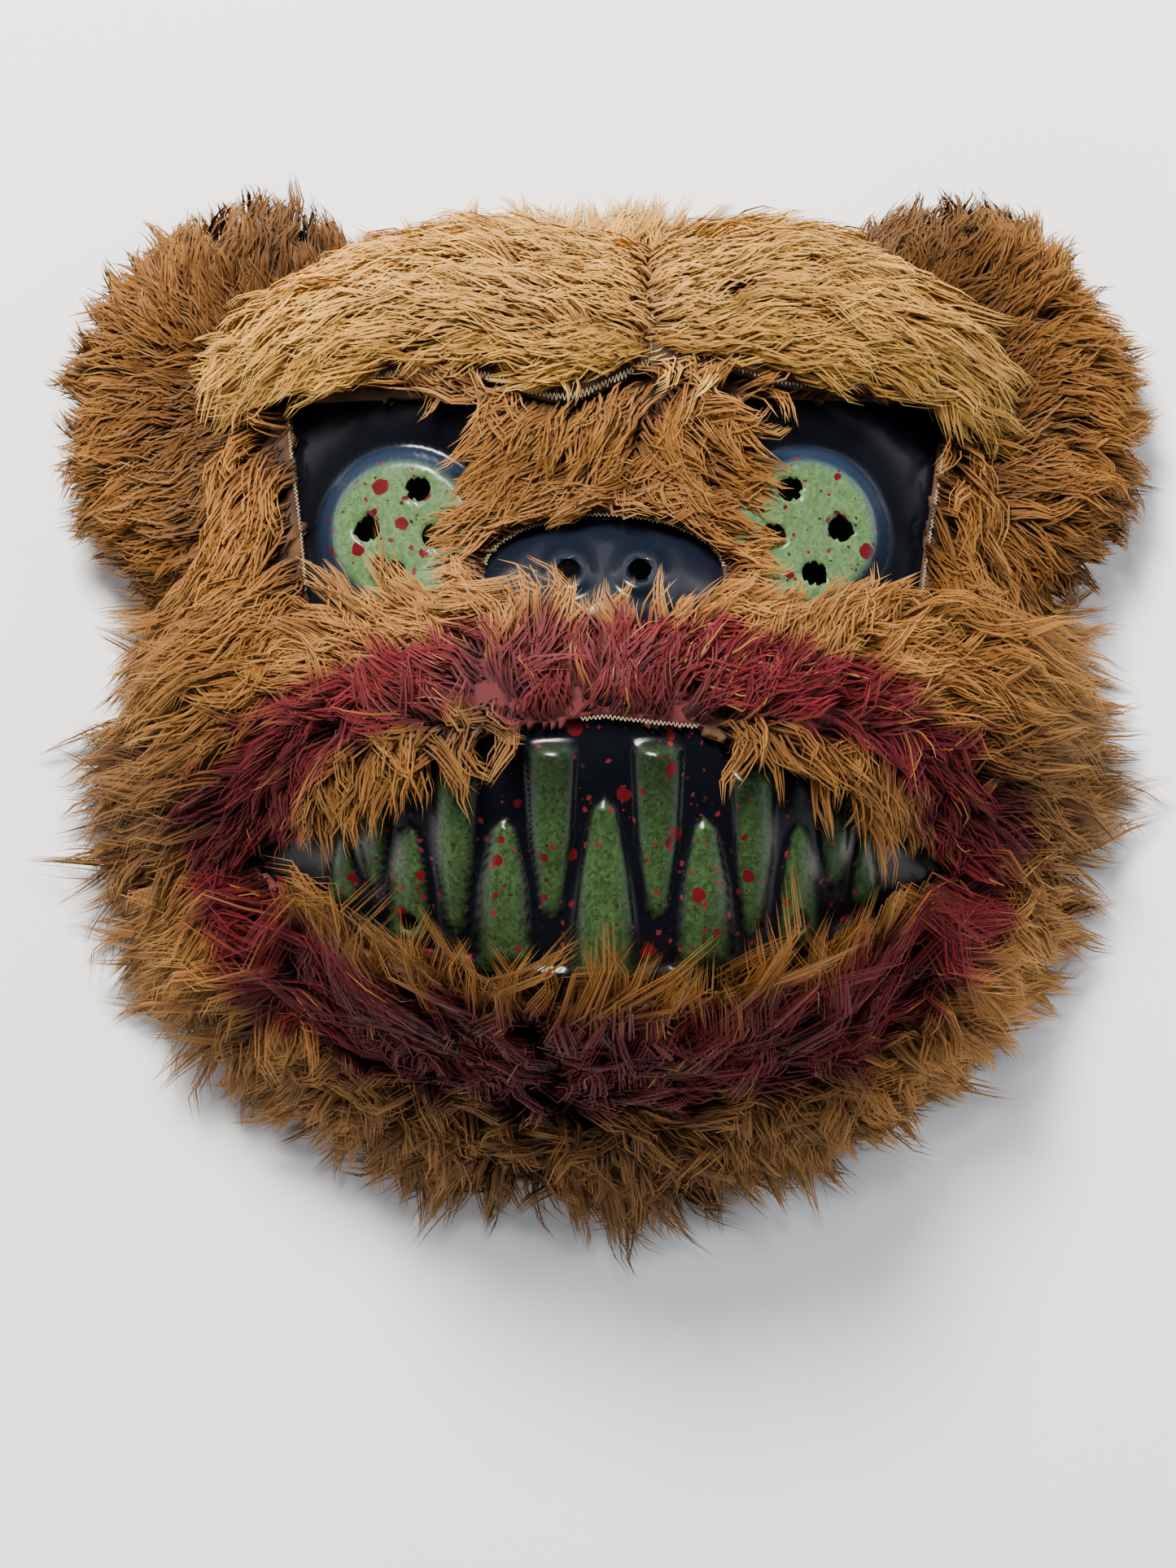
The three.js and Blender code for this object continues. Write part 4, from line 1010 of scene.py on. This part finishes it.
def grow_pile(name, net, keep, upward, nap, codes, count, curl=0.7, gather=0.72, wanted=None,
              painted=None, shade_at=None):
    """Pile over the kept cells of a net: about count ribbons, in locks of LOCK."""
    corners, normal = faced_cells(net, upward)
    places = corners.reshape(-1, 3)
    surface = BVHTree.FromPolygons(places.tolist(), np.arange(len(places)).reshape(-1, 4).tolist())
    roots, normals = scatter_roots(corners, normal, keep, count // LOCK)
    guides = grow_guides(roots, normals, nap, curl, surface)
    which = np.repeat(np.arange(len(guides)), LOCK)
    facing = normals[which]
    across = unit(np.cross(facing, unit(guides[which, 1] - guides[which, 0])))
    forward = np.cross(across, facing)
    turn, far = CHANCE.uniform(0, 2 * math.pi, len(which)), SPREAD * np.sqrt(CHANCE.random(len(which)))
    offset = across * (far * np.cos(turn))[:, None] + forward * (far * np.sin(turn))[:, None]
    if wanted is not None:
        base = guides[which, 0] + offset
        inside = wanted(base[:, 0], base[:, 1])
        which, facing, across, offset = which[inside], facing[inside], across[inside], offset[inside]
    total = len(which)
    t = np.linspace(0, 1, STEPS + 1)[None, :, None]
    loose = CHANCE.random((total, 1, 1)) < LOOSE_SHARE
    closing = 1 - np.where(loose, 0.2, gather) * t ** 1.1
    shorter = CHANCE.uniform(0.7, 1.08, (total, 1, 1))
    path = guides[which, :1] + (guides[which] - guides[which, :1]) * shorter + offset[:, None] * closing
    waver = np.where(loose, 1.8, 0.45) * CHANCE.uniform(0.3, 1, (total, 1, 1))
    path = path + across[:, None] * waver * t * np.sin(CHANCE.uniform(0, 6.3, (total, 1, 1)) + 5 * t)
    path = path + facing[:, None] * CHANCE.uniform(-0.8, 2.4, (total, 1, 1)) * np.sin(2.5 * t)
    path[..., 2] = np.maximum(path[..., 2], HEM_LIFT)
    along = unit(np.gradient(path, axis=1))
    twist = CHANCE.uniform(-1.1, 1.1, (total, 1, 1))
    level = unit(np.cross(along, facing[:, None]))
    side = level * np.cos(twist) + np.cross(level, along) * np.sin(twist)
    flat = np.cross(side, along)
    over = np.where((flat * facing[:, None]).sum(-1).mean(1) < 0, -1, 1)[:, None, None]
    shade = unit(0.4 * flat * over + 0.8 * facing[:, None])
    x, y = path[..., 0], path[..., 1]
    tone = (1 + 0.13 * CHANCE.normal(size=len(guides)))[which] * CHANCE.uniform(0.84, 1.14, total)
    # Random tone from lock to lock, times the painted shade.
    tone = tone * (1 + 0.12 * ripple(x[:, 0], y[:, 0], 46, 6.0)) * (shade_at or painted_shade)(x[:, 0], y[:, 0])
    red = np.zeros((total, STEPS + 1))
    if painted:
        red = painted(x, y) * (CHANCE.random((total, 1)) < 1 - UNPAINTED_SHARE)
    mesh = ribbon_mesh(name, path, side * over, shade, CHANCE.uniform(*RIBBON_HALF, total),
                       pile_colours(codes, t[0, :, 0], np.clip(tone, 0.35, 1.6), red))
    piece = add_object(name, mesh, PILE)
    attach(piece, "root")
    print(f"{name}: {total} ribbons in {len(guides)} locks")
    return piece


# %% [markdown]
# Now the pile is grown, panel by panel. The counts keep each piece under two hundred thousand
# triangles.

# %% Grow it
DENSITY = 1.0
BROW_FRONT = 12
BROW_FOOT = BROW_FRONT + 1
foot_line = np.concatenate([BROWS[-1][:-3, BROW_FOOT][::-1], BROWS[1][:-3, BROW_FOOT]])


def brow_foot(x):
    """The height in the plan of the brows' lower edge."""
    return np.interp(x, foot_line[:, 0], foot_line[:, 1])


head_top = (HEAD_RINGS // 2, 0)
for word, codes, count, curl, wanted, painted in (
        ("face", GOLD, 29500, 0.7, lambda x, y: in_face(x, y) & (y < brow_foot(x) - 1), painted_share),
        ("jaw", GOLD, 28000, 1.45, in_jaw, painted_share),
        ("crown", LIT_GOLD, 8500, 0.7, in_crown, None)):
    node = f"{word}_plush"
    grow_pile(f"{word} pile", head_surface, PANELS[node], head_top, head_nap, codes,
                            int(count * DENSITY), curl=curl, wanted=wanted, painted=painted)


def ear_shade(side):
    """Painted shade: the ear's hollow beside the head is darker."""
    return lambda x, y: 0.3 + 0.5 * fade(-0.4, 0.9, (side * x - EAR_X) / EAR_WIDE)


for side, word in ((-1, "left"), (1, "right")):
    net = BROWS[side]
    keep = np.ones((net.shape[0] - 1, net.shape[1]), bool)
    keep[:, BROW_FRONT:] = False
    grow_pile(f"{word} brow pile", net, keep, (10, 6), brow_nap(side), LIT_GOLD, int(14500 * DENSITY),
              curl=0.6, gather=0.62, wanted=lambda x, y: y > brow_foot(x) + 2.5)
    net, outside = EARS[side]
    grow_pile(f"{word} ear pile", net, outside, (4, 0), ear_nap(side), SHADED_GOLD, int(12000 * DENSITY),
              shade_at=ear_shade(side))

# %% [markdown]
# The three panels are cloth. A panel lies on a curved form, and its cut has the area that its cells
# have there. The cloth that it is cut from is as wide and long as the panel is in the plan, times the
# square root of the share by which the form is larger than its plan.


# %% [markdown]
# The plush is cut raw and overlocked: a pale thread runs to and fro over the edge, a stitch each
# millimetre. It shows under the brows, in the seam between them, over the nose and beside the eye
# windows. Each leg of the thread is a flat strip, because it is a quarter of a millimetre thick.

# %% Overlock stitches
THREAD, STITCH, STITCH_REACH, HEM_RISE, FUZZ = 0.13, 1.1, 2.0, 3.2, 0.8


def overlock(line, across, x, y):
    """The corners of the legs of one row of stitches along a line over x and y in the plan, (legs, 4, 3)."""
    across, normal = across + 0 * line, form_normal(x, y)
    run = np.append(0, np.cumsum(np.linalg.norm(np.diff(line, axis=0), axis=1)))
    at_run = np.arange(0, run[-1], STITCH / 2)
    on_line, over, up = (np.stack([np.interp(at_run, run, v[:, k]) for k in range(3)], -1)
                         for v in (line, across, normal))
    out = np.where(np.arange(len(at_run)) % 2, STITCH_REACH, 0)[:, None]
    dots = on_line + over * (out * CHANCE.uniform(0.8, 1.15, (len(at_run), 1))) + up * 0.5
    along = unit(np.gradient(on_line, axis=0)) * THREAD
    before, after = dots - along, dots + along
    return np.stack([before[:-1], after[:-1], after[1:], before[1:]], 1)


def hem_edge(side):
    """The brow's lower edge, lifted to lie over the pile of the face."""
    edge = BROWS[side][:-3, BROW_FOOT]
    return edge + form_normal(edge[:, 0], edge[:, 1]) * HEM_RISE


legs = []
for side in (-1, 1):
    low_edge = hem_edge(side)
    legs.append(overlock(low_edge, [0, -1, 0], low_edge[:, 0], low_edge[:, 1]))
    row = WINDOWS[(side + 1) // 2]
    y = np.linspace(WINDOW_FOOT + 6, WINDOW_TOP - 4, 40)
    x = side * window_edges(row, y)[1]
    legs.append(overlock(on_backing(x, y), [-side * 0.4, 0, 0], x, y))
turn = np.linspace(0.1, math.pi - 0.1, 60)
nose_x = (NOSE_WIDE - NOSE_MARGIN) * np.cos(turn)
nose_y = NOSE_Y + (NOSE_HIGH + NOSE_MARGIN) * np.sin(turn)
toward = unit(np.stack([-nose_x, (NOSE_Y - nose_y) * 4, 0 * nose_x], -1))
legs.append(overlock(on_backing(nose_x, nose_y), toward * 0.5, nose_x, nose_y))
lip_x = np.linspace(-6, 24, 40)
lip_y = lip_level("upper", lip_x)
legs.append(overlock(on_backing(lip_x, lip_y), [0, -0.6, 0], lip_x, lip_y))
seam = BROWS[-1][0, 1:BROW_FOOT]
legs.append(overlock(seam + [0.2, 0, 0.6], [0.6, 0, 0], seam[:, 0], seam[:, 1]))
legs = np.concatenate(legs)
stitch_mesh = bpy.data.meshes.new("overlock stitches")
stitch_mesh.from_pydata((in_frame(*legs.reshape(-1, 3).T) * MM).tolist(), [],
                        np.arange(4 * len(legs)).reshape(-1, 4).tolist())


def overlock_thread():
    """Pale textured polyester, a little fuzzy."""
    material, tree, shader = new_material("Overlock thread", {"Roughness": 0.75})
    place = add_node(tree, "ShaderNodeTexCoord").outputs["Object"]
    fuzz = add_node(tree, "ShaderNodeTexNoise", {"Vector": place, "Scale": 1 / (FUZZ * MM), "Detail": 2})
    shades = {0: fuzz.outputs["Fac"], 6: colour("#5a4f3c"), 7: colour("#b09c78")}
    base = add_node(tree, "ShaderNodeMix", shades, data_type="RGBA").outputs[2]
    tree.links.new(base, shader.inputs["Base Color"])
    return material


finish_piece(add_object("overlock stitches", stitch_mesh, overlock_thread()), "light_plush")
print(f"overlock: {len(legs)} legs of thread")


# %% [markdown]
# Under each brow its knit backing stands out raw, a strip a few millimetres wide. It is a small net
# along the brow's lower edge, thickened to half a millimetre.

# %% Raw hem under each brow
KNIT_THICK = 0.5


def raw_hem(side):
    """The brow's knit backing stands out under its pile."""
    edge = hem_edge(side)
    up = form_normal(edge[:, 0], edge[:, 1])
    hem = np.stack([edge + up + [0, 3.5, 0], edge + up * 0.2, edge - up * 0.4 + [0, -2.4, 0]], 0)
    mesh, _ = net_mesh("raw hem", in_frame(*np.moveaxis(hem, -1, 0)), np.ones((2, len(edge) - 1), bool))
    smooth_faces(mesh)
    piece = add_object(f"brow hem {side + 1}", mesh, HEM_KNIT)
    thicken = piece.modifiers.new("thickness", "SOLIDIFY")
    thicken.thickness = KNIT_THICK * MM
    bake_modifiers(piece)
    return finish_piece(piece, "light_plush")


HEM_KNIT = knit_backing("Raw knit hem", "#1d110a", "#54391f")
for side in (-1, 1):
    print(f"hem: {len(raw_hem(side).data.polygons)} faces")

# %% [markdown]
# The band is woven elastic. Its solid already has the right shape, so it only gets its material.

# %% Material: woven elastic
# A radian of the wave is 1.5 mm, so the broad ribs are 9 mm apart. The yarn itself is too fine to show.
RIB = 1.5


def woven_elastic():
    """Matt black yarn, a little paler along each rib."""
    material, tree, shader = new_material("Woven elastic", {"Roughness": 0.8})
    place = add_node(tree, "ShaderNodeTexCoord").outputs["Object"]
    wave = {"Vector": place, "Scale": 1 / (RIB * MM) / WAVE_TURN}
    ribs = add_node(tree, "ShaderNodeTexWave", wave, bands_direction="Z")
    shades = {0: ribs.outputs["Fac"], 6: colour("#0c0c0e"), 7: colour("#26262a")}
    base = add_node(tree, "ShaderNodeMix", shades, data_type="RGBA").outputs[2]
    tree.links.new(base, shader.inputs["Base Color"])
    return material


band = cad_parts["head_band"]
band.data.materials.clear()
band.data.materials.append(woven_elastic())

# %% [markdown]
# The photograph looks straight at the mask. Here the mask lies on its rim, so the camera looks down
# on it. A long lens from well away keeps the near muzzle and the far ears in scale.

# %% Floor, lamps and camera
PIXEL = 0.22
FRAME_WIDE, FRAME_HIGH = 1445, 1927
FACE_MIDDLE_PX = (742, 865)
LENS, SENSOR = 110, 36
LOOK_LEVEL = 50
AIM_LEVEL = 0.05


def plain_floor():
    return new_material("Matt white paper", {"Base Color": colour("#f8f8f8"), "Roughness": 0.9})[0]


bpy.ops.mesh.primitive_plane_add(size=6)
floor = bpy.context.object
floor.name = "floor"
floor.data.materials.append(plain_floor())


def add_lamp(name, place, size, power, tint, shines=True):
    lamp = bpy.data.lights.new(name, "AREA")
    lamp.shape = "DISK"
    lamp.size = size
    lamp.energy = power
    lamp.color = colour(tint)[:3]
    holder = bpy.data.objects.new(name, lamp)
    bpy.context.collection.objects.link(holder)
    holder.location = place
    holder.rotation_euler = (Vector((0, 0, AIM_LEVEL)) - Vector(place)).to_track_quat("-Z", "Y").to_euler()
    holder.visible_glossy = shines


add_lamp("key lamp", (-0.4, 1.3, 1.25), 0.6, 112, "#fff8ee")
add_lamp("fill lamp", (1.4, 0.4, 0.9), 0.9, 14, "#f0f5ff", shines=False)
add_lamp("low lamp", (-0.9, -1.1, 0.9), 0.8, 3, "#ffffff", shines=False)
add_lamp("card", (-0.15, 0.8, 1.4), 0.22, 9, "#f4f8ff")
HORIZON, OVERHEAD, HORIZON_LIGHT, OVERHEAD_LIGHT = 0.08, 0.62, 1.9, 0.04
world = bpy.data.worlds.new("studio")
bpy.context.scene.world = world
world.use_nodes = True
sky = world.node_tree
height = add_node(sky, "ShaderNodeSeparateXYZ", {0: add_node(sky, "ShaderNodeTexCoord").outputs["Generated"]})
dim_above = add_node(sky, "ShaderNodeMapRange", {
    0: height.outputs[2], 1: HORIZON, 2: OVERHEAD, 3: HORIZON_LIGHT, 4: OVERHEAD_LIGHT})
sky.links.new(dim_above.outputs[0], sky.nodes["Background"].inputs[1])
sky.nodes["Background"].inputs[0].default_value = colour("#f4f6fa")

look_x = (FRAME_WIDE / 2 - FACE_MIDDLE_PX[0]) * PIXEL
look_y = (FACE_MIDDLE_PX[1] - FRAME_HIGH / 2) * PIXEL + MIDDLE_Y
distance = FRAME_HIGH * PIXEL * LENS / SENSOR
lens = bpy.data.cameras.new("camera")
lens.lens, lens.sensor_width, lens.clip_end = LENS, SENSOR, 20
camera = bpy.data.objects.new("camera", lens)
bpy.context.collection.objects.link(camera)
camera.location = (look_x * MM, look_y * MM, (distance + LOOK_LEVEL) * MM)
bpy.context.scene.camera = camera
print(f"camera {distance:.0f} mm over the face")

# %% Count the triangles
bpy.context.view_layer.update()
counted = {o.name: sum(len(f.vertices) - 2 for f in o.data.polygons) for o in bpy.context.scene.objects
           if o.type == "MESH" and not o.hide_render}
print(f"{sum(counted.values())} triangles, at most {max(counted.values())} in a piece")
print(dict(sorted(counted.items(), key=lambda row: -row[1])[:9]))
